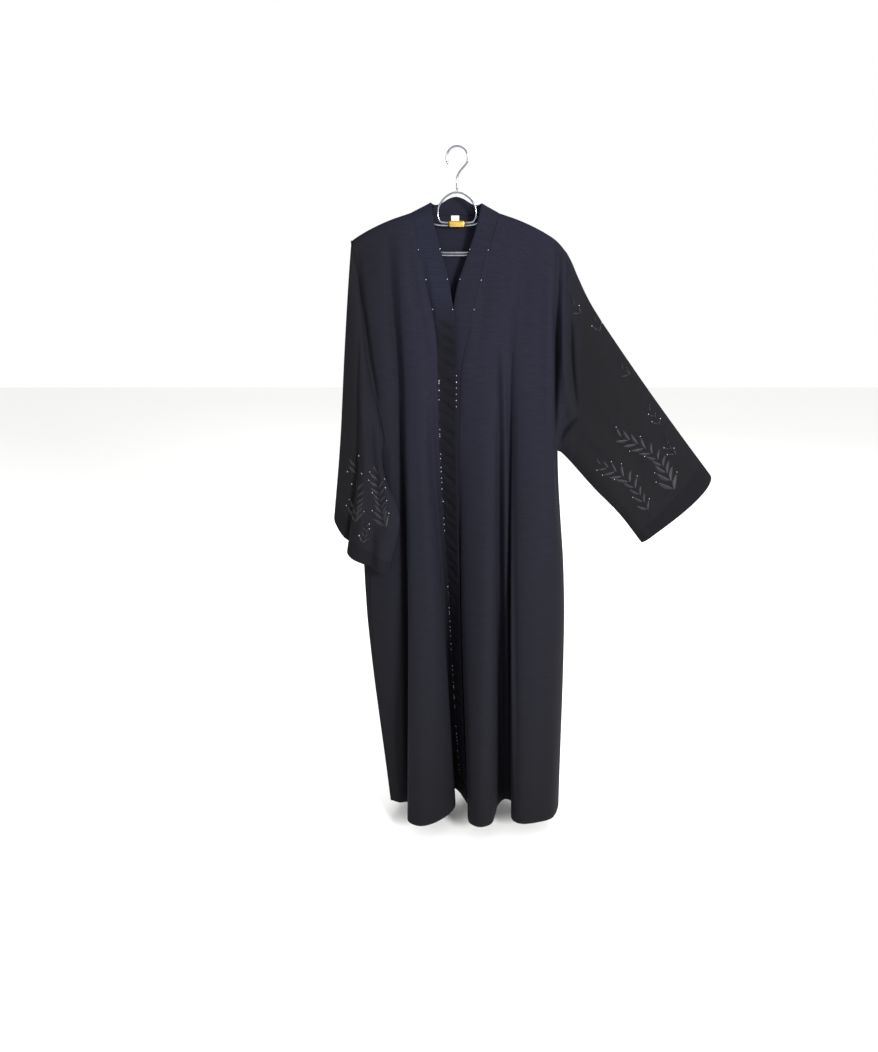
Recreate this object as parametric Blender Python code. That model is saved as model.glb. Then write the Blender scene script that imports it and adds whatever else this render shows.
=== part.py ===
"""Open-front abaya cloak of black crepe, hanging on a chrome wire hanger.

Metres, +Z up. The front of the cloak faces -Y, and +X is the wearer's left. The origin is the inside
of the hanger's hook, where it hangs on a rod. The wearer's right sleeve hangs down, and the left
sleeve is drawn out to the side. Each sewn piece is one wall of cloth. Its middle surface is a grid:
the columns run down the cloth along its folds, and the rows run across it.
"""
from math import cos, pi, radians, sin, sqrt

import bpy
from mathutils import Vector

MM = 0.001

# Cloth
CLOTH = 1.3 * MM
SEAM_GAP = 0.3 * MM
HEM_Z = -1.513
UNDERARM_Z = -0.612
SHOULDER_ROLL = 8 * MM           # radius of the cloth where it lies over the hanger
ARMHOLE_TOP_Z = -0.194
RIGHT_ARMHOLE = {"front": (9 * MM, -3 * MM), "back": (-1 * MM, 1 * MM)}    # edges, from the side line
LEFT_ARMHOLE = {"front": (0, -9 * MM), "back": (0, 9 * MM)}
ARMHOLE_CLOSING = 40 * MM        # height over which they come together at the underarm
ARMHOLE_TOP_CLOSING = 70 * MM
FRONT_STEPS = 2                  # columns from one fold line to the next
BACK_STEPS = 3

# Hanger
WIRE = 2.2 * MM
HOOK_INNER_RADIUS = 19 * MM
HOOK_STEM_Z = -80 * MM
FRAME_CENTRE_Z = -146 * MM
LOOP_BASE_Z = -140 * MM
LOOP_TOP_Z = -83 * MM
BAR_Z = -198.2 * MM
FRAME_BAR_Z = -203.5 * MM
TIP_RADIUS = 15 * MM
TIP_OUT = 187 * MM
CLAMP_SIZE = (38 * MM, 7 * MM, 13 * MM)
CLAMP_WALL = 1.0 * MM

# The line of the shoulder seam, the same on both sides: distance from the cloak's middle, height.
SHOULDER_LINE = ((85, -121.5), (128, -135.5), (158, -148), (182, -160), (204, -173.5),
                 (216, -184.5), (227, -197))
MIDDLE_X = -5 * MM               # the cloak and the hanger's frame hang this far to one side

# Heights of the stations at which the fold tables give a place.
STATIONS = {"shoulder": -0.16, "chest": -0.42, "underarm": -0.62, "hip": -0.95, "hem": HEM_Z}

# Each fold line of the wearer's right front, from the side seam to the band, in mm: how far along X
# and along Y it lies at the shoulder, chest, underarm, hip and hem.
RIGHT_FRONT_FOLDS = (
    # name             x: shoulder chest  under   hip    hem    y: shoulder chest under  hip   hem
    ("side seam",        (-214,   -197,   -160,  -197,   -150),   (0,    -8,  -18,    -6,    -3)),
    ("side panel",       (-165,   -154,   -138,  -153,   -133),   (-11, -16,  -17,   -16,   -10)),
    ("long valley",      (-133,   -121,   -112,  -102,   -107),   (-10, -10,   -8,    -2,   -10)),
    ("long crest",       (-121,   -109,   -108,  -105,   -111),   (-12, -22,  -32,   -50,   -82)),
    ("right lobe",       (-112,    -90,    -86,   -79,    -77),   (-13, -26,  -40,   -66,  -103)),
    ("lobe shoulder",    (-104,    -72,    -66,   -49,    -32),   (-13, -25,  -38,   -60,   -79)),
    ("lobe flank",       (-98,     -61,    -57,   -33,      3),   (-13, -22,  -28,   -34,   -30)),
    ("band valley",      (-93,     -52,    -49,   -27,      4),   (-13, -20,  -15,    13,    48)),
)

# The wearer's left front, from the band to the side seam, in the same way.
LEFT_FRONT_FOLDS = (
    ("lobe root",        (89,       21,     17,    15,     36),   (-13, -18,  -22,   -28,   -46)),
    ("lobe flank",       (95,       38,     32,    30,     36),   (-13, -20,  -28,   -46,   -86)),
    ("left lobe",        (104,      60,     61,    66,     60),   (-13, -22,  -34,   -62,  -107)),
    ("lobe slope",       (114,      82,     82,    88,     92),   (-13, -21,  -30,   -50,   -91)),
    ("valley edge",      (122,      98,     91,    95,    109),   (-13, -19,  -20,   -22,   -26)),
    ("valley floor",     (129,     106,    105,   112,    129),   (-13, -17,  -12,    -6,     3)),
    ("valley root",      (136,     115,    118,   129,    147),   (-13, -18,  -12,    -9,   -10)),
    ("far lobe flank",   (144,     123,    123,   127,    140),   (-13, -22,  -28,   -42,   -72)),
    ("far lobe",         (156,     141,    141,   148,    160),   (-13, -25,  -38,   -58,   -94)),
    ("far lobe middle",  (175,     175,    178,   190,    208),   (-12, -26,  -40,   -58,   -87)),
    ("far lobe edge",    (198,     202,    208,   229,    241),   (-10, -23,  -32,   -45,   -70)),
    ("armhole valley",   (208,     211,    214,   249,    259),   (-5,   -4,  -18,   -15,   -28)),
    ("armhole ridge",    (216,     221,    222,   252,    262),   (-9,  -13,   -9,     5,     0)),
    ("side seam",        (222,     231,    221,   247,    256),   (0,     2,    4,    20,    30)),
)
# The right side of the back wraps round to meet the side seam, in the same way.
RIGHT_SIDE_FOLDS = (
    ("side fold",        (-209,   -206,   -190,  -205,   -157),   (2,    -4,  -14,     1,     1)),
    ("side turn",        (-203,   -209,   -206,  -201,   -150),   (6,     4,    2,    17,    28)),
)
ARMHOLE_BULGE = 13 * MM          # the left armhole swings out this far above the underarm
ARMHOLE_BULGE_Z = -0.50
ARMHOLE_BULGE_SPREAD = 70 * MM

# Fold lines of the back: how far across it lies (0 at the right side seam, 1 at the left one), and
# how far back it stands at the chest, hip and hem, in mm.
BACK_FOLDS = (
    # name               across  chest  hip   hem
    ("right lobe",        0.10,   16,   56,  112),
    ("right valley",      0.21,   13,   38,   78),
    ("inner right lobe",  0.31,   17,   60,  120),
    ("middle valley",     0.41,   14,   40,   80),
    ("middle lobe",       0.52,   18,   64,  126),
    ("inner left valley", 0.62,   14,   38,   76),
    ("inner left lobe",   0.72,   17,   58,  118),
    ("left valley",       0.82,   13,   36,   70),
    ("left lobe",         0.91,   17,   56,  110),
    ("left turn",         0.98,   10,   38,   74),
)

# The two front bands, from the neck to the hem. Each row gives a height, then X of the right band's
# seam and free edge and of the left band's seam and free edge, then Y of the same four lines, in mm.
FRONT_EDGES = (
    # z     right seam, free  left seam, free     right seam, free  left seam, free
    (-118,   -92,  -52,         85,   49,           -8,   -4,         -8,   -4),
    (-150,   -86,  -46,         75,   40,          -11,   -7,        -11,   -7),
    (-180,   -81,  -37,         68,   31,          -13,   -9,        -13,   -8),
    (-220,   -74,  -25,         59,   14,          -14,  -11,        -14,   -8),
    (-260,   -62,  -15,         50,    2,          -15,  -13,        -15,   -8),
    (-300,   -52,   -8,         41,   -6,          -16,  -16,        -15,   -8),
    (-360,   -42,    0,         25,  -19,          -17,  -20,        -15,   -9),
    (-420,   -39,    2,         10,  -31,          -18,  -23,        -15,  -11),
    (-620,   -34,    3,          8,  -30,          -12,  -27,        -19,   -5),
    (-950,   -15,   12,         18,   -8,            8,  -21,        -15,   12),
    (-1250,    2,   22,         29,    9,           20,  -15,        -10,   23),
    (-1513,   20,   34,         41,   27,           24,  -13,        -10,   26),
)
BAND_STEPS = 3

# The neck at the back: the seam that the collar stands on, and the collar's upper edge.
NECK_SEAM_BACK_Y = 24 * MM
NECK_SEAM_BACK_Z = -124 * MM
COLLAR_TOP_BACK_Y = 33 * MM
COLLAR_TOP_BACK_Z = -91 * MM
COLLAR_DIP = 9 * MM
COLLAR_PEAKS = {"right": (-52 * MM, -102.5 * MM), "left": (49 * MM, -104 * MM)}
NECK_SETTLE = 90 * MM            # the back reaches its own depth this far below the neck
NECK_COLUMN = 14                 # first column of the back that hangs from the neck seam
NECK_STEPS = 12
COLLAR_STEPS = 3

# Rows of the body pieces: round the roll over the shoulder, then parts of the way down to the
# underarm, then heights down to the hem.
ROLL_ANGLES = (0, 42, 80)
ARMHOLE_ROWS = (0.07, 0.165, 0.28, 0.40, 0.52, 0.64, 0.75, 0.85, 0.94, 1.0)
SKIRT_ROWS = (-0.675, -0.76, -0.86, -0.98, -1.11, -1.24, -1.37, HEM_Z)
UNDERARM_ROW = len(ROLL_ANGLES) + len(ARMHOLE_ROWS) - 1

# Sleeves. Each row of a fold line is a stage along the sleeve (0 at the armhole, 1 at the cuff) and
# the line's place there, in mm. A turn goes round a sleeve from the top fold (0), down its front, past
# the under fold (0.5) and up its back. Each fold row gives the face it is on, how far it lies from the
# top fold (0) to the under fold (1), then how far it moves along X and Y at the elbow and at the cuff,
# in mm. A sleeve swings away from the armhole, by the mm given, before it settles.
RIGHT_SLEEVE = {
    "top fold": (
        (0.00, -216, 0, -194), (0.15, -223, -9, -275), (0.40, -235, -13, -415),
        (0.70, -249, -14, -588), (1.00, -269, -14, -763)),
    "under fold": (
        (0.00, -160, -18, -612), (0.12, -158, -30, -642), (0.25, -148, -40, -676), (0.45, -130, -45, -716),
        (0.70, -123, -46, -771), (0.85, -136, -47, -825), (1.00, -149, -47, -888)),
    "folds": (
        # name             face     across  x elbow, cuff   y elbow, cuff
        ("side strip",     "front",  0.16,     2,    0,      -5,   -5),
        ("pleat inside",   "front",  0.30,     2,    3,      -6,   -4),
        ("pleat edge",     "front",  0.43,    -6,  -23,     -13,  -16),
        ("middle",         "front",  0.58,    -4,  -18,     -17,  -24),
        ("inner valley",   "front",  0.73,     0,   -9,      -6,   -9),
        ("inner ridge",    "front",  0.87,     9,   -4,     -12,  -14),
        ("back outer",     "back",   0.15,     0,    0,       4,    6),
        ("back middle",    "back",   0.50,    -4,   -4,       1,    5),
        ("back inner",     "back",   0.85,     0,    0,       1,    4)),
    "settled": 0.24,                                             # stage by which it has settled
    "swing": ((0, 3, -1, -3), (0, -12, -11, -9)),                 # X and Y, at the top, front, under, back
    "elbow bow": (-16 * MM, -20 * MM),   # how far rings near the elbow hang past their ends, X and Z
    "cuff bow": (0, -19 * MM),
}
LEFT_SLEEVE = {
    "top fold": (
        (0.00, 222, 0, -199), (0.15, 269, 0, -286), (0.40, 362, 0, -415),
        (0.70, 466, 2, -549), (1.00, 564, 4, -670)),
    "under fold": (
        (0.00, 221, 4, -612), (0.15, 249, 3, -634), (0.40, 308, 2, -698),
        (0.70, 368, 3, -758), (1.00, 423, 4, -827)),
    "folds": (
        ("top roll",       "front",  0.06,     0,    0,      -6,   -5),
        ("top plane",      "front",  0.28,     0,    0,      -9,   -7),
        ("soft dip",       "front",  0.52,     0,    0,      -7,   -8),
        ("low plane",      "front",  0.78,     0,    0,     -11,   -7),
        ("under roll",     "front",  0.95,     0,    0,      -6,   -5),
        ("back top roll",  "back",   0.06,     0,    0,       7,    6),
        ("back top",       "back",   0.30,     0,    0,      11,    8),
        ("back dip",       "back",   0.55,     0,    0,       8,    6),
        ("back low",       "back",   0.80,     0,    0,      12,    8),
        ("back under",     "back",   0.95,     0,    0,       7,    6)),
    "settled": 0.20,
    "swing": ((4, 8, 6, 8), (0, -1, 2, 3)),
    "elbow bow": (0, 0),
    "cuff bow": (9 * MM, -13 * MM),
}
SLEEVE_FOLD_RADIUS = 3 * MM      # radius of the top and under folds
SLEEVE_STAGES = (0, 0.05, 0.10, 0.16, 0.23, 0.31, 0.41, 0.53, 0.66, 0.78, 0.89, 1)

# Label at the back neck: its rows below the neck seam, and its columns in parts of a column of the back.
LABEL_THICKNESS = 0.8 * MM
LABEL_DROPS = (3 * MM, 9 * MM, 15.5 * MM)
LABEL_ACROSS = (-0.35, 0, 0.35)


def smooth_value(knots, values, at):
    """Value at a place on the smooth curve through the knots, straight beyond its ends."""
    last = len(knots) - 1
    slopes = []
    for i in range(last + 1):
        low, high = max(i - 1, 0), min(i + 1, last)
        slopes.append((values[high] - values[low]) / (knots[high] - knots[low]))
    if (at - knots[0]) * (knots[1] - knots[0]) <= 0:
        return values[0] + slopes[0] * (at - knots[0])
    for i in range(last):
        span = knots[i + 1] - knots[i]
        part = (at - knots[i]) / span
        if part <= 1:
            rise = values[i + 1] - values[i]
            turn = (slopes[i] * span - rise) * (1 - part) + (rise - slopes[i + 1] * span) * part
            return values[i] + rise * part + turn * part * (1 - part)
    return values[last] + slopes[last] * (at - knots[last])


def curve_points(points, steps):
    """Points on the smooth curve through the given ones, a fixed number of steps to each span."""
    reach = [0.0]
    for a, b in zip(points, points[1:]):
        reach.append(reach[-1] + sqrt((b - a).length))
    places = []
    for i in range(len(points) - 1):
        for step in range(steps):
            places.append(reach[i] + (reach[i + 1] - reach[i]) * step / steps)
    places.append(reach[-1])
    axes = [[p[axis] for p in points] for axis in range(len(points[0]))]
    return [Vector([smooth_value(reach, values, place) for values in axes]) for place in places]


def shoulder_height(x):
    """Height of the shoulder seam at a distance from the middle."""
    outs = [row[0] * MM for row in SHOULDER_LINE]
    heights = [row[1] * MM for row in SHOULDER_LINE]
    return smooth_value(outs, heights, abs(x - MIDDLE_X))


def edge_point(column, z):
    """Place of a band's line at a height: 0 and 1 are the right seam and edge, 2 and 3 the left ones."""
    heights = [row[0] * MM for row in FRONT_EDGES]
    x = smooth_value(heights, [row[1 + column] * MM for row in FRONT_EDGES], z)
    y = smooth_value(heights, [row[5 + column] * MM for row in FRONT_EDGES], z)
    return Vector((x, y))


def fold_point(fold, z):
    """Place of a fold line of the front at a height."""
    heights = list(STATIONS.values())
    x = smooth_value(heights, [value * MM for value in fold[1]], z)
    y = smooth_value(heights, [value * MM for value in fold[2]], z)
    return Vector((x, y))


def armhole_opening(z):
    """How far the armhole is open at a height, from 0 at its ends to 1."""
    low = min(1.0, max(0.0, z - UNDERARM_Z) / ARMHOLE_CLOSING)
    high = min(1.0, max(0.0, ARMHOLE_TOP_Z - z) / ARMHOLE_TOP_CLOSING)
    return sqrt(low * (2 - low)) * high


def side_line(side, z, face):
    """The side seam, which parts into the two edges of the armhole above the underarm."""
    if side == "right":
        place, edge = fold_point(RIGHT_FRONT_FOLDS[0], z), RIGHT_ARMHOLE[face]
    else:
        place, edge = fold_point(LEFT_FRONT_FOLDS[-1], z), LEFT_ARMHOLE[face]
        place.x += ARMHOLE_BULGE * max(0.0, 1 - ((z - ARMHOLE_BULGE_Z) / ARMHOLE_BULGE_SPREAD) ** 2)
    return place + Vector(edge) * armhole_opening(z)


def front_section(side, z):
    """Fold points across one front at a height, from -X to +X."""
    if side == "right":
        places = [side_line("right", z, "front")]
        places += [fold_point(fold, z) for fold in RIGHT_FRONT_FOLDS[1:]]
        return places + [edge_point(0, z)]
    places = [edge_point(2, z)]
    places += [fold_point(fold, z) for fold in LEFT_FRONT_FOLDS[:-1]]
    return places + [side_line("left", z, "front")]


def back_section(z):
    """Fold points across the back at a height, from -X to +X."""
    places = [side_line("right", z, "back")] + [fold_point(fold, z) for fold in RIGHT_SIDE_FOLDS]
    right, left = places[-1], side_line("left", z, "back")
    heights = [STATIONS["shoulder"], STATIONS["chest"], STATIONS["hip"], HEM_Z]
    for _, across, chest, hip, hem in BACK_FOLDS:
        y = smooth_value(heights, [11 * MM, chest * MM, hip * MM, hem * MM], z)
        places.append(Vector((right.x + (left.x - right.x) * across, y)))
    return places + [left]


def roll_over(y, drop, face):
    """Depth of cloth that comes down from the roll over the shoulder."""
    if drop < SHOULDER_ROLL:
        return face * sqrt(SHOULDER_ROLL ** 2 - (SHOULDER_ROLL - drop) ** 2)
    part = min(1.0, (drop - SHOULDER_ROLL) / (50 * MM))
    part = part * part * (3 - 2 * part)
    return face * SHOULDER_ROLL * (1 - part) + y * part


def row_heights(top):
    """Heights of the rows in a column that starts at a height."""
    roll = [top - SHOULDER_ROLL * (1 - cos(radians(angle))) for angle in ROLL_ANGLES]
    armhole = [top + (UNDERARM_Z - top) * part for part in ARMHOLE_ROWS]
    return roll + armhole + list(SKIRT_ROWS)


def column_top(section, index, steps):
    """Height at which a column meets the shoulder seam."""
    top = STATIONS["shoulder"]
    for _ in range(12):
        top = shoulder_height(curve_points(section(top), steps)[index].x)
    return top


def body_grid(section, face, steps, tops=None):
    """Rows of points of a body piece. Columns whose top isn't given hang from the shoulder seam."""
    tops = tops or {}
    columns = []
    for index in range(len(curve_points(section(STATIONS["chest"]), steps))):
        top = tops[index].z if index in tops else column_top(section, index, steps)
        columns.append([])
        for z in row_heights(top):
            place = curve_points(section(z), steps)[index]
            if index in tops:
                settled = min(1.0, (top - z) / NECK_SETTLE)
                roll = roll_over(place.y, top - z, face)
                place = tops[index].xy.lerp(place, settled * settled * (3 - 2 * settled))
                place.y = max(place.y, roll)
            else:
                place.y = roll_over(place.y, top - z, face)
            columns[-1].append(Vector((*place, z)))
    return [list(row) for row in zip(*columns)]


def neck_curve(peak_line, part):
    """Point of the neck seam, or of the collar's upper edge, from the right shoulder to the left."""
    swing = sin(pi * part) ** 0.7
    if peak_line:
        (right_x, right_z), (left_x, left_z) = COLLAR_PEAKS["right"], COLLAR_PEAKS["left"]
        x = (right_x + left_x) / 2 - (left_x - right_x) / 2 * cos(pi * part)
        z = right_z + (left_z - right_z) * part
        z += (COLLAR_TOP_BACK_Z - z) * sin(pi * part) ** 2 - COLLAR_DIP * sin(2 * pi * part) ** 2
        return Vector((x, COLLAR_TOP_BACK_Y * swing, z))
    right_x, left_x = edge_point(0, -0.118).x, edge_point(2, -0.118).x
    x = (right_x + left_x) / 2 - (left_x - right_x) / 2 * cos(pi * part)
    z = shoulder_height(right_x) * (1 - part) + shoulder_height(left_x) * part
    z += (NECK_SEAM_BACK_Z - z) * sin(pi * part)
    return Vector((x, NECK_SEAM_BACK_Y * swing, z))


def back_grid():
    """The back, whose middle columns hang from the neck seam."""
    tops = {}
    for step in range(NECK_STEPS + 1):
        tops[NECK_COLUMN + step] = neck_curve(False, step / NECK_STEPS)
    return body_grid(back_section, 1, BACK_STEPS, tops)


def band_grid(side, rows):
    """A front band, whose seam column follows the front's own edge."""
    seam, free = (0, 1) if side == "right" else (2, 3)
    grid = []
    peak_x, peak_z = COLLAR_PEAKS[side]
    for i, start in enumerate(rows):
        z = start.z
        if i == 0:
            end = Vector((peak_x, 0, peak_z))
        else:
            place = edge_point(free, z)
            drop = rows[0].z - z
            end = Vector((place.x, roll_over(place.y, drop, -1), z))
            lift = max(0.0, 1 - drop / (60 * MM))
            end.z += (peak_z - rows[0].z) * lift
            end.x += (peak_x - edge_point(free, rows[0].z).x) * lift
        grid.append([start.lerp(end, step / BAND_STEPS) for step in range(BAND_STEPS + 1)])
    if side == "left":
        grid = [row[::-1] for row in grid]
    return grid


def edge_place(edge, stage):
    """Place of a sleeve's line at a stage."""
    stages = [row[0] for row in edge]
    return Vector([smooth_value(stages, [row[axis] * MM for row in edge], stage) for axis in (1, 2, 3)])


def sleeve_point(sleeve, turn, stage):
    """Point of a sleeve, from its fold lines and folds."""
    top, under = edge_place(sleeve["top fold"], stage), edge_place(sleeve["under fold"], stage)
    face, side = ("front", -1) if turn <= 0.5 else ("back", 1)
    across = turn * 2 if turn <= 0.5 else 2 - turn * 2
    place = top.lerp(under, across)
    rows = [row for row in sleeve["folds"] if row[1] == face]
    knots = [0.0] + [row[2] for row in rows] + [1.0]
    elbow = max(0.0, 1 - abs(stage - 0.5) * 2) + max(0.0, 0.5 - stage)
    cuff = max(0.0, stage * 2 - 1)
    for axis, near, far in ((0, 3, 4), (1, 5, 6)):
        moves = [0] + [(row[near] * elbow + row[far] * cuff) * MM for row in rows] + [0]
        place[axis] += smooth_value(knots, moves, across)
    rounded = min(1.0, min(across, 1 - across) * (under - top).length / SLEEVE_FOLD_RADIUS)
    place.y += side * SLEEVE_FOLD_RADIUS * sqrt(rounded * (2 - rounded))
    for name, bow in (("cuff bow", sin(pi * across ** 0.55) * stage ** 2),
                      ("elbow bow", sin(pi * across ** 2.5) * sin(pi * stage))):
        place += Vector((sleeve[name][0], 0, sleeve[name][1])) * bow
    return place


def sleeve_grid(sleeve, armhole, turns):
    """Rings of a sleeve. The first ring is the armhole's edge, and the others leave it smoothly."""
    rings = []
    for stage in SLEEVE_STAGES:
        part = min(1.0, stage / sleeve["settled"])
        hold = (1 - part) ** 2
        bulge = 4 * part * (1 - part) ** 2
        ring = []
        for point, turn in zip(armhole, turns):
            swing = [smooth_value((0, 0.25, 0.5, 0.75, 1), values + values[:1], turn)
                     for values in sleeve["swing"]]
            ring.append(point * hold + sleeve_point(sleeve, turn, stage) * (1 - hold)
                        + Vector((*swing, 0)) * bulge * MM)
        rings.append(ring)
    return rings


def armhole_loop(front, back):
    """Edge of an armhole, from the shoulder down the front and up the back, and its turns."""
    loop = front[:UNDERARM_ROW + 1] + back[1:UNDERARM_ROW][::-1]
    reach = [0.0]
    for a, b in zip(loop, loop[1:] + loop[:1]):
        reach.append(reach[-1] + (b - a).length)
    half = reach[UNDERARM_ROW]
    turns = []
    for i, value in enumerate(reach[:-1]):
        back_part = (value - half) / (reach[-1] - half)
        turns.append(value / half / 2 if i <= UNDERARM_ROW else (1 + back_part) / 2)
    return loop, turns


class Cloth:
    """One wall of cloth: its grid, the outward direction at each point, and its moves at seams."""

    def __init__(self, name, grid, closed=False, flip=False, thickness=CLOTH):
        self.name = name
        self.grid = grid
        self.closed = closed
        self.flip = flip
        self.thickness = thickness
        self.moves = {}
        self.normals = self.outward()

    def squares(self):
        """Corners of each square of the grid, as row and column."""
        columns = len(self.grid[0])
        for i in range(len(self.grid) - 1):
            for j in range(columns if self.closed else columns - 1):
                k = (j + 1) % columns
                yield (i, j), (i + 1, j), (i + 1, k), (i, k)

    def outward(self):
        """Outward direction at each point, from the squares round it."""
        total = [[Vector((0, 0, 0)) for _ in row] for row in self.grid]
        for corners in self.squares():
            a, b, c, d = [self.grid[i][j] for i, j in corners]
            face = (c - a).cross(d - b).normalized()
            for i, j in corners:
                total[i][j] += face
        sign = -1 if self.flip else 1
        return [[sign * normal.normalized() for normal in row] for row in total]

    def at(self, place):
        """Point of the grid at a row and column."""
        return self.grid[place[0]][place[1]]

    def move(self, place, step):
        """Note how far a point moves to leave half a seam's gap."""
        self.moves[place] = self.moves.get(place, Vector((0, 0, 0))) + step

    def build(self, finish):
        """Make the object: two sheets, half the thickness to each side of the grid, and their rims."""
        rows, columns = len(self.grid), len(self.grid[0])
        verts = []
        for side in (0.5, -0.5):
            for i in range(rows):
                for j in range(columns):
                    middle = self.grid[i][j] + self.moves.get((i, j), Vector((0, 0, 0)))
                    verts.append(middle + self.normals[i][j] * self.thickness * side)
        inner = rows * columns
        faces = []
        for corners in self.squares():
            a, b, c, d = corners
            if (self.at(a) - self.at(c)).length <= (self.at(b) - self.at(d)).length:
                halves = ((a, b, c), (a, c, d))
            else:
                halves = ((a, b, d), (b, c, d))
            for half in halves:
                outer = [i * columns + j for i, j in half]
                faces.append(outer)
                faces.append([index + inner for index in reversed(outer)])
        for a, b in self.rim():
            higher = self.at(a).z > self.at(b).z
            a, b = a[0] * columns + a[1], b[0] * columns + b[1]
            if higher:
                faces += [[a, a + inner, b + inner], [a, b + inner, b]]
            else:
                faces += [[b, a, a + inner], [b, a + inner, b + inner]]
        if self.flip:
            faces = [list(reversed(face)) for face in faces]
        mesh = bpy.data.meshes.new(self.name)
        mesh.from_pydata(verts, [], faces)
        mesh.shade_smooth()
        mesh.set_sharp_from_angle(angle=radians(60))
        add_object(self.name, mesh, finish)

    def rim(self):
        """Pairs of neighbours along the open edges, in the order that faces their walls outward."""
        last_row, last_column = len(self.grid) - 1, len(self.grid[0]) - 1
        around = list(range(last_column + 1)) + ([0] if self.closed else [])
        pairs = [((0, k), (0, j)) for j, k in zip(around, around[1:])]
        pairs += [((last_row, j), (last_row, k)) for j, k in zip(around, around[1:])]
        if not self.closed:
            pairs += [((i, 0), (i + 1, 0)) for i in range(last_row)]
            pairs += [((i + 1, last_column), (i, last_column)) for i in range(last_row)]
        return pairs


def shoulder_direction(x):
    """Direction square to the shoulder seam, in the seam's own plane."""
    step = 1 * MM
    rise = shoulder_height(x + step) - shoulder_height(x - step)
    return Vector((-rise, 0, 2 * step)).normalized()


def part_at_shoulder(piece, edge, face):
    """Give an edge at the shoulder seam upright ends, and draw it in from the seam's plane."""
    for place in edge:
        direction = piece.normals[place[0]][place[1]]
        direction.y = 0
        direction.normalize()
        piece.move(place, Vector((0, face * SEAM_GAP / 2, 0)))


def sew(first, second, pairs):
    """Give two pieces one direction along their seam, and draw both in from it.

    Each pair holds a point of the first piece, its inner neighbour, and the same for the second.
    """
    line = [first.at(pair[0]) for pair in pairs]
    last = len(pairs) - 1
    for k, (place, inside, other, other_inside) in enumerate(pairs):
        along = line[min(k + 1, last)] - line[max(k - 1, 0)]
        across = second.at(other_inside) - first.at(inside)
        direction = along.cross(across).normalized()
        if direction.dot(first.normals[place[0]][place[1]]) < 0:
            direction.negate()
        first.normals[place[0]][place[1]] = direction
        second.normals[other[0]][other[1]] = direction
        side = direction.cross(along).normalized()
        if side.dot(across) < 0:
            side.negate()
        first.move(place, side * -SEAM_GAP / 2)
        second.move(other, side * SEAM_GAP / 2)


def share(corners, direction):
    """Give the corners of several pieces one outward direction."""
    for piece, (i, j) in corners:
        piece.normals[i][j] = direction.normalized()


def column(grid, index):
    """One column of a grid."""
    return [row[index] for row in grid]


def collar_grid():
    """The collar, from the neck seam up to its upper edge."""
    rows = []
    for step in range(COLLAR_STEPS + 1):
        rows.append([])
        for i in range(NECK_STEPS + 1):
            part = i / NECK_STEPS
            rows[-1].append(neck_curve(False, part).lerp(neck_curve(True, part), step / COLLAR_STEPS))
    return rows


def label_grid(back):
    """The neck label, from points of the back moved to its inner side."""
    middle = NECK_COLUMN + NECK_STEPS // 2
    offset = CLOTH / 2 + SEAM_GAP + LABEL_THICKNESS / 2
    rows = []
    for drop in LABEL_DROPS:
        rows.append([])
        for across in LABEL_ACROSS:
            low = middle + (0 if across >= 0 else -1)
            part = across - (low - middle)
            level = 0
            while back.at((level + 1, low)).z > back.at((0, low)).z - drop:
                level += 1
            top, bottom = back.at((level, low)), back.at((level + 1, low))
            fall = (back.at((0, low)).z - drop - top.z) / (bottom.z - top.z)
            near = top.lerp(bottom, fall)
            far = back.at((level, low + 1)).lerp(back.at((level + 1, low + 1)), fall)
            point = near.lerp(far, part)
            rows[-1].append(point - back.normals[level][low] * offset)
    return rows


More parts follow.
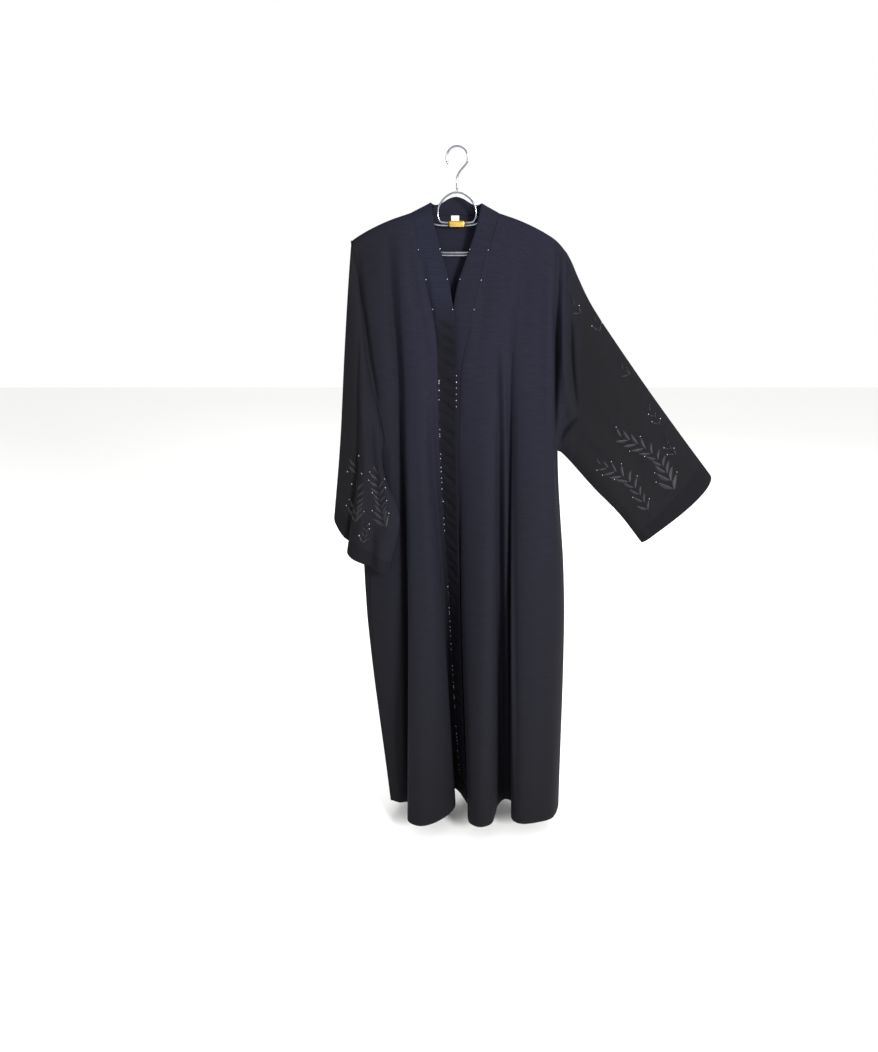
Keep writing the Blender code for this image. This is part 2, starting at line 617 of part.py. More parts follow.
def make_garment():
    """All the cloth, each piece drawn in from its seams."""
    crepe = finish_of("crepe", (0.022, 0.022, 0.030), 0.75)
    band_crepe = finish_of("band_crepe", (0.014, 0.014, 0.019), 0.65)
    label_cloth = finish_of("label_cloth", (0.80, 0.80, 0.78), 0.7)

    right = Cloth("front_right", body_grid(lambda z: front_section("right", z), -1, FRONT_STEPS))
    left = Cloth("front_left", body_grid(lambda z: front_section("left", z), -1, FRONT_STEPS))
    back = Cloth("back", back_grid(), flip=True)
    right_band = Cloth("band_right", band_grid("right", column(right.grid, -1)))
    left_band = Cloth("band_left", band_grid("left", column(left.grid, 0)))
    collar = Cloth("back_neck_band", collar_grid())
    right_loop, right_turns = armhole_loop(column(right.grid, 0), column(back.grid, 0))
    left_loop, left_turns = armhole_loop(column(left.grid, -1), column(back.grid, -1))
    right_sleeve = Cloth("sleeve_right", sleeve_grid(RIGHT_SLEEVE, right_loop, right_turns), closed=True)
    left_sleeve = Cloth("sleeve_left", sleeve_grid(LEFT_SLEEVE, left_loop, left_turns), closed=True, flip=True)

    rows = len(right.grid)
    last = {piece.name: len(piece.grid[0]) - 1 for piece in (right, left, back, left_band)}
    neck_last = NECK_COLUMN + NECK_STEPS

    # Bands to fronts, collar to back.
    sew(right, right_band, [((i, last["front_right"]), (i, last["front_right"] - 1), (i, 0), (i, 1))
                            for i in range(rows)])
    sew(left, left_band, [((i, 0), (i, 1), (i, BAND_STEPS), (i, BAND_STEPS - 1)) for i in range(rows)])
    sew(back, collar, [((0, NECK_COLUMN + k), (1, NECK_COLUMN + k), (0, k), (1, k))
                       for k in range(NECK_STEPS + 1)])

    # Shoulder seams, all in the plane of the hanger.
    part_at_shoulder(right, [(0, j) for j in range(last["front_right"] + 1)], -1)
    part_at_shoulder(left, [(0, j) for j in range(last["front_left"] + 1)], -1)
    part_at_shoulder(right_band, [(0, j) for j in range(BAND_STEPS + 1)], -1)
    part_at_shoulder(left_band, [(0, j) for j in range(BAND_STEPS + 1)], -1)
    part_at_shoulder(back, [(0, j) for j in range(NECK_COLUMN + 1)], 1)
    part_at_shoulder(back, [(0, j) for j in range(neck_last, last["back"] + 1)], 1)
    part_at_shoulder(collar, [(i, j) for i in range(COLLAR_STEPS + 1) for j in (0, NECK_STEPS)], 1)
    share(((right, (0, last["front_right"])), (right_band, (0, 0)), (back, (0, NECK_COLUMN)), (collar, (0, 0))),
          shoulder_direction(right.grid[0][-1].x))
    share(((left, (0, 0)), (left_band, (0, BAND_STEPS)), (back, (0, neck_last)), (collar, (0, NECK_STEPS))),
          shoulder_direction(left.grid[0][0].x))

    for near, next_in in ((1, 2), (NECK_STEPS - 1, NECK_STEPS - 2)):
        corner = 0 if near == 1 else NECK_STEPS
        share(((back, (0, NECK_COLUMN + near)), (collar, (0, near))),
              collar.normals[0][corner] + collar.normals[0][next_in])

    # Side seams and armholes.
    for front, edge, inside, sleeve in ((right, 0, 1, right_sleeve),
                                        (left, last["front_left"], last["front_left"] - 1, left_sleeve)):
        back_edge = 0 if edge == 0 else last["back"]
        back_inside = 1 if edge == 0 else last["back"] - 1
        sew(front, back, [((i, edge), (i, inside), (i, back_edge), (i, back_inside))
                          for i in range(UNDERARM_ROW, rows)])
        side = front.normals[UNDERARM_ROW][edge].copy()
        around = len(sleeve.grid[0])
        sew(front, sleeve, [((i, edge), (i, inside), (0, i), (1, i)) for i in range(UNDERARM_ROW + 1)])
        turns = [(i, (around - i) % around) for i in range(UNDERARM_ROW + 1)]
        sew(back, sleeve, [((i, back_edge), (i, back_inside), (0, turn), (1, turn)) for i, turn in turns])
        share(((front, (0, edge)), (back, (0, back_edge)), (sleeve, (0, 0))),
              shoulder_direction(front.grid[0][edge].x))
        under = sleeve.outward()[0][UNDERARM_ROW]
        share(((front, (UNDERARM_ROW, edge)), (back, (UNDERARM_ROW, back_edge)),
               (sleeve, (0, UNDERARM_ROW))), side + under)

    for piece in (right, left, back, right_sleeve, left_sleeve):
        piece.build(crepe)
    for piece in (right_band, left_band, collar):
        piece.build(band_crepe)
    Cloth("neck_label", label_grid(back), flip=True, thickness=LABEL_THICKNESS).build(label_cloth)


def add_object(name, data, finish):
    """Put a piece in the scene with its finish."""
    piece = bpy.data.objects.new(name, data)
    data.materials.append(finish)
    bpy.context.scene.collection.objects.link(piece)
    return piece


def finish_of(name, colour, roughness, metallic=0.0):
    """A plain surface finish."""
    made = bpy.data.materials.new(name)
    made.use_nodes = True
    shader = made.node_tree.nodes["Principled BSDF"]
    shader.inputs["Base Color"].default_value = (*colour, 1)
    shader.inputs["Roughness"].default_value = roughness
    shader.inputs["Metallic"].default_value = metallic
    made.diffuse_color = (*colour, 1)
    return made


def wire(name, points, finish, closed=False):
    """A round wire along points in the hanger's plane."""
    curve = bpy.data.curves.new(name, "CURVE")
    curve.dimensions = "3D"
    curve.bevel_depth = WIRE
    curve.bevel_resolution = 2
    curve.use_fill_caps = not closed
    spline = curve.splines.new("POLY")
    spline.points.add(len(points) - 1)
    for point, (x, z) in zip(spline.points, points):
        point.co = (x, 0, z, 1)
    spline.use_cyclic_u = closed
    spline.use_smooth = True
    add_object(name, curve, finish)


def arc(centre, radius, start, end, steps):
    """Points of an arc, its angles in degrees from +X towards +Z."""
    angles = [radians(start + (end - start) * step / steps) for step in range(steps + 1)]
    return [Vector((centre[0] + radius * cos(angle), centre[1] + radius * sin(angle))) for angle in angles]


def mirrored(points, middle):
    """The points of one side of the hanger, repeated on its other side in reverse order."""
    return [Vector((2 * middle - point[0], point[1])) for point in reversed(points)]


def hook_points():
    """The hook, from its stem over the crown to its open end."""
    radius = HOOK_INNER_RADIUS + WIRE
    stem = [Vector((0, HOOK_STEM_Z)), Vector((0, HOOK_STEM_Z + 12 * MM)), Vector((0.5 * MM, -52 * MM))]
    bend = arc((0, -HOOK_INNER_RADIUS), radius, -55, 215, 22)
    return curve_points(stem + [bend[0]], 3)[:-1] + bend


def loop_points():
    """The rounded handle loop above the frame."""
    side = [Vector((x * MM, z)) for x, z in (
        (30, LOOP_BASE_Z), (36.5, -134 * MM), (38.5, -125 * MM),
        (36.5, -110 * MM), (26, -94.5 * MM), (11, -85 * MM))]
    corners = [Vector((0, LOOP_BASE_Z))] + side + [Vector((0, LOOP_TOP_Z))]
    half = curve_points(corners, 3)
    return half + mirrored(half[1:-1], 0)


def frame_points():
    """The frame: up from the clamp, along the shoulder, round the tip and back along the bar."""
    clear = CLOTH / 2 + SEAM_GAP * 1.4 + WIRE
    half = [Vector((x * MM, z * MM)) for x, z in (
        (0, -146), (24, -146), (38, -144), (52, -138.5), (68, -132.5), (86, -129.5))]
    for out in (112, 128, 144, 160, 176, 190):
        x = out * MM + MIDDLE_X
        down = shoulder_direction(x) * clear
        half.append(Vector((x - down.x, shoulder_height(x) - down.z)))
    centre = (TIP_OUT + MIDDLE_X, FRAME_BAR_Z + TIP_RADIUS)
    tip = arc(centre, TIP_RADIUS, 52, -90, 8)
    bar = [Vector((x * MM, FRAME_BAR_Z)) for x in (120, 60)]
    line = half + tip + bar
    other = [Vector((2 * MIDDLE_X - point.x, point.y)) for point in reversed(line[1:])]
    return line + [Vector((MIDDLE_X, FRAME_BAR_Z))] + other


def make_hanger():
    """The chrome hanger: hook, handle loop, frame and inner bar, and the brass clamp round its middle."""
    chrome = finish_of("chrome_wire", (0.62, 0.63, 0.65), 0.18, 1.0)
    brass = finish_of("brass_sleeve", (0.62, 0.44, 0.16), 0.35, 1.0)
    wire("hanger_hook", hook_points(), chrome)
    wire("hanger_loop", loop_points(), chrome, closed=True)
    wire("hanger_frame", frame_points(), chrome, closed=True)
    reach = sqrt((TIP_RADIUS - 2 * WIRE - SEAM_GAP) ** 2 - (FRAME_BAR_Z + TIP_RADIUS - BAR_Z) ** 2)
    end = TIP_OUT + reach - 1 * MM
    wire("hanger_bar", [Vector((MIDDLE_X - end, BAR_Z)), Vector((MIDDLE_X + end, BAR_Z))], chrome)

    width, depth, height = CLAMP_SIZE
    centre_z = (FRAME_CENTRE_Z + LOOP_BASE_Z) / 2
    round_z = (height - depth) / 2
    radius = (depth - CLAMP_WALL) / 2
    outline = arc((0, centre_z + round_z), radius, 0, 180, 6)
    outline += arc((0, centre_z - round_z), radius, 180, 360, 6)
    rings = [[Vector((x, point.x, point.y)) for point in outline] for x in (-width / 2, width / 2)]
    Cloth("hanger_clamp", rings, closed=True, flip=False, thickness=CLAMP_WALL).build(brass)


for old in list(bpy.data.objects):
    bpy.data.objects.remove(old)
make_garment()
make_hanger()
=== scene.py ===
from math import cos, pi, radians, sin

import bmesh
import bpy
import numpy as np
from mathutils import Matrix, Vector
from mathutils.bvhtree import BVHTree


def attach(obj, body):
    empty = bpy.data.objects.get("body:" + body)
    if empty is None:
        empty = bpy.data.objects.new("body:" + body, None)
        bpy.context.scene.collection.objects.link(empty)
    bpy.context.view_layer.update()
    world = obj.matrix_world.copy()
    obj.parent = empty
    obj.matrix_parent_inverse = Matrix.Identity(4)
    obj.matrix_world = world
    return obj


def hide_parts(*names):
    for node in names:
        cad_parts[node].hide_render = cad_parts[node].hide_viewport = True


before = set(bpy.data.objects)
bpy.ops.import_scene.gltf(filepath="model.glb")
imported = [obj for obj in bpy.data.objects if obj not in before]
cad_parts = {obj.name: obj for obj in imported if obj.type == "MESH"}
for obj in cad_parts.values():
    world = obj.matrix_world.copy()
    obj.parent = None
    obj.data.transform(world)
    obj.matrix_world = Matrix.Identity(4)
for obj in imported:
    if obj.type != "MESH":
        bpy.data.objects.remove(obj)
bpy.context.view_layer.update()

MM = 0.001


# The back of the cloak: one wide panel of black crepe that hangs from the neck band and from the
# shoulder seams. It falls in five soft flutes, and wraps round the wearer's right side to its seam.
BACK_HEM = ((-150, -3, -1513), (256, 30, -1513))     # its two hem corners, in mm
WALL = 1.3 * MM                  # the solids' cloth wall
CREPE_THICKNESS = 0.9 * MM
CLOTH_STEP = 5 * MM              # size of the cloth mesh's squares
ALLOWANCE = 2.5 * MM             # width of the seam allowance tucked behind the next piece
TUCK = 1.0 * MM                  # how far behind it that allowance lies
WELD = 0.01 * MM                 # corners of a solid that are closer than this are one


def third_point(wall, a, b, known):
    """The corner beyond the edge from a to b that isn't known yet."""
    edge = wall.edges.get((a, b))
    for face in edge.link_faces if edge else ():
        for vert in face.verts:
            if vert not in known and vert is not a and vert is not b:
                return vert
    return None


def next_row(wall, row, first, known, ring):
    """The row of points beyond a row, walked square by square from its first point."""
    new = [first]
    for a, b in zip(row, row[1:] + (row[:1] if ring else [])):
        point = third_point(wall, a, b, known)
        if point is new[-1]:
            point = third_point(wall, b, point, known)
        if point is None:
            return None
        new.append(point)
    if ring and new.pop() is not first:
        return None
    return new


def border_path(points, start, end, ring):
    """Points along the open edge from the one nearest start to the one nearest end, or once round."""
    border = {vert: [edge.other_vert(vert) for edge in vert.link_edges if len(edge.link_faces) == 1]
              for vert in points if vert.is_boundary and vert.link_faces}
    first = min(border, key=lambda vert: (vert.co - Vector(start) * MM).length)
    last = min(border, key=lambda vert: (vert.co - Vector(end) * MM).length)
    paths = []
    for second in border[first]:
        path = [first, second]
        while path[-1] is not first:
            a, b = border[path[-1]]
            path.append(b if a is path[-2] else a)
        paths.append(path[:-1])
    path = min(paths, key=lambda way: way.index(last))
    return path if ring else path[:path.index(last) + 1]


def cloth_rows(node, corners, ring=False):
    """Rows of points on the middle of a sewn piece's wall, from the edge between two corners, in mm.

    The wall has two faces. Each is walked row by row, and the middle lies half way between them.
    """
    wall = bmesh.new()
    wall.from_mesh(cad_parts[node].data)
    bmesh.ops.remove_doubles(wall, verts=wall.verts, dist=WELD)
    rim = [face for face in wall.faces
           if any(abs(edge.calc_length() - WALL) < 0.002 * MM for edge in face.edges)]
    bmesh.ops.delete(wall, geom=rim, context="FACES_ONLY")
    bmesh.ops.delete(wall, geom=[edge for edge in wall.edges if not edge.link_faces], context="EDGES")
    left = set(wall.verts)
    sides = []
    while left:
        side = [left.pop()]
        for vert in side:
            near = {edge.other_vert(vert) for edge in vert.link_edges} & left
            side += near
            left -= near
        row = border_path(side, *corners, ring)
        rows, known = [row], set(row)
        while True:
            starts = {edge.other_vert(row[0]) for edge in row[0].link_edges if ring or edge.is_boundary}
            starts = sorted(starts - known, key=lambda vert: vert.index)
            options = [next_row(wall, row, start, known, ring) for start in starts]
            options = [option for option in options if option]
            if not options:
                break
            row = min(options, key=lambda new: sum((a.co - b.co).length for a, b in zip(row, new)))
            rows.append(row)
            known.update(row)
        sides.append(np.array([[vert.co[:] for vert in row] for row in rows]))
    wall.free()
    return (sides[0] + sides[1]) / 2


def smooth_between(rows, step):
    """Rows of points with new rows between them, no further apart than step, on smooth curves."""
    gaps = np.linalg.norm(np.diff(rows, axis=0), axis=2).mean(axis=1)[:, None, None]
    slopes = np.diff(rows, axis=0) / gaps
    bends = np.empty_like(rows)
    bends[1:-1] = (slopes[:-1] * gaps[1:] + slopes[1:] * gaps[:-1]) / (gaps[1:] + gaps[:-1])
    bends[0], bends[-1] = slopes[0], slopes[-1]
    fine = []
    for k, gap in enumerate(gaps[:, 0, 0]):
        for part in np.arange(0, 1, 1 / np.ceil(gap / step)):
            fine.append((2 * part ** 3 - 3 * part ** 2 + 1) * rows[k]
                        + (3 * part ** 2 - 2 * part ** 3) * rows[k + 1]
                        + (part ** 3 - 2 * part ** 2 + part) * gap * bends[k]
                        + (part ** 3 - part ** 2) * gap * bends[k + 1])
    return np.array(fine + [rows[-1]])


def fine_cloth(node, corners, ring=False, step=CLOTH_STEP):
    """A fine grid of points on a sewn piece. A ring's last column repeats its first."""
    points = cloth_rows(node, corners, ring)
    start = points[0, 0]
    if ring:
        points = np.concatenate((points[:, -2:], points, points[:, :3]), axis=1)
    points = smooth_between(points.transpose(1, 0, 2), step).transpose(1, 0, 2)
    if ring:
        away = np.linalg.norm(points[0] - start, axis=1)
        first = np.argmin(away[:len(away) // 3])
        last = len(away) - 1 - np.argmin(away[::-1][:len(away) // 3])
        points = points[:, first:last + 1]
    return smooth_between(points, step)


def facing(points):
    """Direction that the cloth's outer face looks in, at each point."""
    face = np.cross(np.gradient(points, axis=1), np.gradient(points, axis=0))
    return face / np.maximum(np.linalg.norm(face, axis=2, keepdims=True), 1e-12)


def fold(points, lines):
    """Press soft troughs into the cloth, or raise ridges where the depth is below zero.

    Each line has a side (-1 front, 1 back), its path as X and Z, how wide it is and how deep, in mm.
    A line is deepest in its middle, fades out at both ends, and leaves cloth alone that faces the other way.
    """
    out = facing(points)
    moved = points.copy()
    for side, path, width, depth in lines:
        path = np.array(path) * MM
        lengths = np.linalg.norm(np.diff(path, axis=0), axis=1)
        near = np.full(points.shape[:2], np.inf)
        reach = np.zeros(points.shape[:2])
        for start, end, before, length in zip(path, path[1:], np.cumsum(lengths) - lengths, lengths):
            part = np.clip(((points[..., ::2] - start) @ (end - start)) / length ** 2, 0, 1)
            away = np.linalg.norm(points[..., ::2] - start - part[..., None] * (end - start), axis=2)
            closer = away < near
            near[closer] = away[closer]
            reach[closer] = ((before + part * length) / lengths.sum())[closer]
        strength = np.exp(-(near / (width * MM)) ** 2) * np.sin(pi * np.clip(reach, 0.01, 0.99)) ** 0.6
        moved[..., 1] -= side * depth * MM * strength * np.clip(4 * side * out[..., 1], 0, 1)
    return moved


def with_allowance(points, edges):
    """Carry cloth on past some of its edges, tucked behind the piece that it is sewn to there.

    A grid's first row is its hem, its armhole or the neck band's seam. Its last row is its shoulder, its
    cuff or the neck band's free edge. Its start and its end are its first and last columns.
    """
    for edge in edges:
        axis, last = {"first": (0, 0), "last": (0, -1), "start": (1, 0), "end": (1, -1)}[edge]
        line = points.take(last, axis)
        onward = line - points.take(3 * last + 1, axis)
        onward /= np.linalg.norm(onward, axis=1, keepdims=True)
        tucked = np.expand_dims(line + onward * ALLOWANCE - facing(points).take(last, axis) * TUCK, axis)
        points = np.concatenate((points, tucked) if last else (tucked, points), axis)
    return points


def colour(code):
    """Linear colour, with its alpha, from an sRGB hex code."""
    parts = [int(code[i:i + 2], 16) / 255 for i in (1, 3, 5)]
    return [part / 12.92 if part <= 0.04045 else ((part + 0.055) / 1.055) ** 2.4 for part in parts] + [1]


def add_node(tree, kind, links=(), **settings):
    """Add a node to a tree. Links pair one of its inputs with another node's output."""
    node = tree.nodes.new(kind)
    for name, value in settings.items():
        if name in node.inputs.keys():
            node.inputs[name].default_value = value
        else:
            setattr(node, name, value)
    for name, source in links:
        tree.links.new(source, node.inputs[name])
    return node


def new_material(name):
    """A material with an empty tree of nodes."""
    material = bpy.data.materials.new(name)
    material.use_nodes = True
    material.node_tree.nodes.clear()
    return material, material.node_tree


def crepe(name, chest, dark, heights, slub_light):
    """Matte polyester crepe: a pebbled black weave with thicker threads, slubs, across it.

    A painted bluish sheen lies across the chest, and painted shade makes it blacker on the sleeves and down
    to
    the hem: its colour turns between two heights and at both sides. The slubs are drawn 3 mm apart, coarser
    than real ones.
    """
    material, tree = new_material(name)
    cloth = add_node(tree, "ShaderNodeUVMap", uv_map="cloth")
    across = add_node(tree, "ShaderNodeMapping", [("Vector", cloth.outputs["UV"])], Scale=(24, 330, 1))
    slubs = add_node(tree, "ShaderNodeTexNoise", [("Vector", across.outputs["Vector"])], Scale=1, Detail=2)
    pebbles = add_node(tree, "ShaderNodeTexNoise", [("Vector", cloth.outputs["UV"])], Scale=1100, Detail=1)
    place = add_node(tree, "ShaderNodeTexCoord")
    parts = add_node(tree, "ShaderNodeSeparateXYZ", [("Vector", place.outputs["Object"])])
    # Painted sheen and shade: the colour is bluer high up and towards the middle, and blacker low down and at
    # the sides.
    sheen_reach = add_node(tree, "ShaderNodeMapRange", [("Value", parts.outputs["Z"])], **{
        "From Min": heights[0], "From Max": heights[1], "To Min": 0, "To Max": 1})
    for outside, inside in SHEEN_SIDES:
        side = add_node(tree, "ShaderNodeMapRange", [("Value", parts.outputs["X"])], **{
            "From Min": outside, "From Max": inside, "To Min": 0, "To Max": 1})
        sheen_reach = add_node(tree, "ShaderNodeMath", [(0, sheen_reach.outputs[0]), (1, side.outputs["Result"])],
                        operation="MULTIPLY")
    sheen_tone = add_node(tree, "ShaderNodeMix", [("Factor", sheen_reach.outputs[0])], data_type="RGBA")
    sheen_tone.inputs[6].default_value, sheen_tone.inputs[7].default_value = colour(dark), colour(chest)
    threads = add_node(tree, "ShaderNodeMapRange", [("Value", slubs.outputs["Fac"])], **{
        "From Min": 0.3, "From Max": 0.7, "To Min": 1 / slub_light, "To Max": slub_light})
    shade = add_node(tree, "ShaderNodeVectorMath", [(0, sheen_tone.outputs[2]), (1, threads.outputs["Result"])],
                     operation="MULTIPLY")
    height = add_node(tree, "ShaderNodeMath", [(0, slubs.outputs["Fac"]), (1, pebbles.outputs["Fac"])],
                      operation="ADD")
    bump = add_node(tree, "ShaderNodeBump", [("Height", height.outputs["Value"])], Strength=0.3,
                    Distance=0.2 * MM)
    surface = add_node(tree, "ShaderNodeBsdfPrincipled",
                       [("Base Color", shade.outputs["Vector"]), ("Normal", bump.outputs["Normal"])],
                       Roughness=0.85)
    surface.inputs["Specular IOR Level"].default_value = 0.1
    surface.inputs["Sheen Weight"].default_value = 0.02
    surface.inputs["Sheen Roughness"].default_value = 0.45
    surface.inputs["Sheen Tint"].default_value = colour("#a0a0d0")
    add_node(tree, "ShaderNodeOutputMaterial", [("Surface", surface.outputs["BSDF"])])
    return material


def link(name, mesh):
    """Put a mesh in the scene."""
    piece = bpy.data.objects.new(name, mesh)
    bpy.context.scene.collection.objects.link(piece)
    return piece


def add_cloth(name, points, material, thickness=CREPE_THICKNESS, ring=False):
    """Make a piece of cloth from its grid of points, with its lengths across and down it as UVs."""
    rows, columns = points.shape[:2]
    used = columns - 1 if ring else columns
    mesh = bpy.data.meshes.new(name)
    squares = [(i, j) for i in range(rows - 1) for j in range(columns - 1)]
    corners = ((0, 0), (0, 1), (1, 1), (1, 0))
    faces = [[(i + di) * used + (j + dj) % used for di, dj in corners] for i, j in squares]
    mesh.from_pydata(points[:, :used].reshape(-1, 3).tolist(), [], faces)
    u = np.append(0, np.linalg.norm(np.diff(points, axis=1), axis=2).mean(axis=0).cumsum())
    v = np.append(0, np.linalg.norm(np.diff(points, axis=0), axis=2).mean(axis=1).cumsum())
    layer = mesh.uv_layers.new(name="cloth")
    lengths = [(u[j + dj], v[i + di]) for i, j in squares for di, dj in corners]
    layer.data.foreach_set("uv", np.array(lengths).ravel())
    mesh.shade_smooth()
    mesh.materials.append(material)
    piece = link(name, mesh)
    wall = piece.modifiers.new("wall", "SOLIDIFY")
    wall.thickness, wall.offset = thickness, 0
    return piece


def hang_cloth(piece, node):
    """Show a piece of cloth in place of its solid."""
    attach(piece, "root")
    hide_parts(node)


BACK_FOLDS = (
    (1, ((-172, -210), (-150, -330), (-118, -470), (-92, -700)), 11, 4),
    (1, ((-118, -190), (-92, -300), (-60, -520), (-52, -760)), 10, 3.5),
    (1, ((-60, -170), (-36, -330), (-10, -560), (0, -820)), 9, 3),
    (1, ((30, -165), (40, -330), (36, -620), (34, -900)), 9, 3),
    (1, ((96, -200), (104, -330), (100, -520), (96, -860)), 11, 4),
    (1, ((160, -200), (166, -340), (168, -560), (166, -900)), 10, 3.5),
    (1, ((204, -240), (208, -400), (210, -600)), 9, -3),
)
SHEEN_SIDES = ((-0.225, -0.10), (0.27, 0.19))        # X where the painted sheen starts, and where it is full

# Black crepe: matte, with a faint painted bluish sheen on the chest, painted shade towards the hem and the
# sleeves, and short uneven threads across it.
black_crepe = crepe("black_polyester_crepe", "#151520", "#0f0f12", (-1.55, -0.4), 1.14)
back_points = fold(fine_cloth("back", (BACK_HEM[1], BACK_HEM[0])), BACK_FOLDS)
back = add_cloth("cloak_back", with_allowance(back_points, ("last", "start", "end")), black_crepe)
hang_cloth(back, "back")


# The two fronts: long panels of the same crepe, from the shoulder seam to the hem. Long sharp valleys
# run down between their flutes, and a deep crease marks the armhole of the sleeve that is held out.
RIGHT_FRONT_HEM = ((-150, -3, -1513), (20, 24, -1513))
LEFT_FRONT_HEM = ((41, -10, -1513), (256, 30, -1513))
# The folds run from the top down. The crease beside the neck goes on across the right band.
NECK_CREASE = (-1, ((-72, -200), (-56, -290), (-38, -395)), 6, 4.5)
RIGHT_FRONT_FOLDS = (
    (-1, ((-137, -193), (-131, -331), (-118, -456), (-112, -723), (-107, -930), (-105, -1480)), 6, 6),
    (-1, ((-125, -740), (-124, -930), (-124, -1200), (-124, -1500)), 6, -6),
    (-1, ((-141, -165), (-137, -250), (-131, -350), (-121, -480)), 9, 6),
    (-1, ((-134, -520), (-131, -720), (-127, -990), (-126, -1300), (-126, -1500)), 30, -12),
    NECK_CREASE,
    (-1, ((-59, -437), (-49, -607), (-38, -827)), 8, 3),
    (-1, ((-206, -183), (-201, -216), (-195, -291), (-188, -352), (-181, -414), (-166, -508)), 4, 10),
    (-1, ((-176, -196), (-160, -270), (-146, -380)), 13, 1.8),
    (-1, ((-100, -160), (-92, -260), (-80, -380)), 12, 1.6),
    (-1, ((-75, -560), (-66, -760), (-60, -1000)), 12, -2),
)
LEFT_ARMHOLE_FOLDS = (
    (-1, ((197, -190), (201, -292), (207, -394), (211, -498), (213, -600)), 5, 9),
    (-1, ((209, -200), (214, -291), (224, -393), (236, -485), (247, -532)), 9, -11),
    (-1, ((236, -330), (245, -430), (258, -518)), 5, 8),
    (-1, ((262, -536), (246, -552), (234, -569), (223, -592)), 5, 8),
)
LEFT_FRONT_FOLDS = LEFT_ARMHOLE_FOLDS + (
    (-1, ((84, -400), (92, -600), (101, -900), (110, -1200), (117, -1460)), 5, 4),
    (-1, ((116, -400), (124, -600), (132, -900), (143, -1200), (150, -1460)), 4, 4),
    (-1, ((98, -400), (107, -600), (116, -900), (126, -1200), (133, -1460)), 8, -26),
    (-1, ((188, -190), (186, -290), (192, -420), (200, -600)), 13, -2),
    (-1, ((150, -175), (140, -260), (138, -380)), 14, 1.8),
    (-1, ((60, -190), (52, -290), (46, -420)), 12, 1.5),
)

right_front_points = fold(fine_cloth("front_right", RIGHT_FRONT_HEM), RIGHT_FRONT_FOLDS)
left_front_points = fold(fine_cloth("front_left", LEFT_FRONT_HEM), LEFT_FRONT_FOLDS)
right_front = add_cloth("cloak_front_right", right_front_points, black_crepe)
left_front = add_cloth("cloak_front_left", left_front_points, black_crepe)
hang_cloth(right_front, "front_right")
hang_cloth(left_front, "front_left")


# The sleeves: wide tubes of crepe set in deep armholes. The wearer's right one hangs in long pleats, and
# the left one is held out, with a rounded tuck of cloth where it leaves the body above the underarm.
RIGHT_ARMHOLE = ((-213, 0, -176.7), (-212, -3, -207))
LEFT_ARMHOLE = ((223.5, 0, -198.7), (224, -6, -230))
SLEEVE_STEP = 4 * MM
CUFF_INSET = 40 * MM             # the cuff is faced with a second layer of crepe this wide
RIGHT_SLEEVE_FOLDS = (
    (-1, ((-196, -440), (-190, -542), (-185, -618), (-180, -690), (-178, -790)), 6, 5.5),
    (-1, ((-207, -520), (-205, -620), (-203, -740), (-203, -830)), 7, -3),
    (-1, ((-222, -560), (-225, -671), (-227, -739), (-231, -830)), 5, 4.5),
    (-1, ((-206, -183), (-201, -216), (-195, -291), (-188, -352), (-181, -414), (-166, -508)), 4, 9),
    (-1, ((-208, -230), (-206, -290), (-202, -360)), 4, 4),
    (-1, ((-150, -640), (-146, -700), (-152, -790)), 6, 3),
    (-1, ((-218, -300), (-224, -420), (-236, -560)), 7, 2.5),
    (1, ((-200, -640), (-205, -720), (-210, -820)), 9, 4),
    (1, ((-170, -680), (-172, -760), (-172, -850)), 9, 3.5),
)
LEFT_SLEEVE_FOLDS = LEFT_ARMHOLE_FOLDS + (
    (-1, ((246, -250), (310, -370), (390, -490)), 15, 2.2),
    (-1, ((262, -575), (330, -640), (400, -720)), 12, 2.6),
    (-1, ((280, -480), (360, -570), (450, -660)), 16, -2.4),
    (-1, ((430, -560), (470, -640), (490, -700)), 11, 1.8),
    (1, ((240, -300), (240, -400), (250, -520)), 8, -4),
    (1, ((250, -270), (320, -400), (400, -520)), 14, 3),
    (1, ((255, -560), (330, -650), (400, -730)), 13, 3),
    (1, ((290, -470), (370, -570), (460, -670)), 16, -2.4),
)

right_sleeve_points = fold(fine_cloth("sleeve_right", RIGHT_ARMHOLE, True, SLEEVE_STEP), RIGHT_SLEEVE_FOLDS)
left_sleeve_points = fold(fine_cloth("sleeve_left", LEFT_ARMHOLE, True, SLEEVE_STEP), LEFT_SLEEVE_FOLDS)
right_sleeve = add_cloth("sleeve_right_cloth", with_allowance(right_sleeve_points, ("first",)), black_crepe,
                         ring=True)
left_sleeve = add_cloth("sleeve_left_cloth", with_allowance(left_sleeve_points, ("first",)), black_crepe,
                        ring=True)
hang_cloth(right_sleeve, "sleeve_right")
hang_cloth(left_sleeve, "sleeve_left")

# Cuff crepe: a little blacker than the sleeve above it, with fainter slubs, and the same painted sheen and
# shade. The cuff is two layers thick.
cuff_crepe = crepe("faced_cuff_crepe", "#111118", "#0c0b0f", (-1.55, -0.4), 1.12)
for sleeve, points in ((right_sleeve, right_sleeve_points), (left_sleeve, left_sleeve_points)):
    down = np.linalg.norm(np.diff(points, axis=0), axis=2).mean(axis=1)[::-1].cumsum()
    sleeve.data.materials.append(cuff_crepe)
    for square in list(sleeve.data.polygons)[-np.searchsorted(down, CUFF_INSET) * (points.shape[1] - 1):]:
        square.material_index = 1


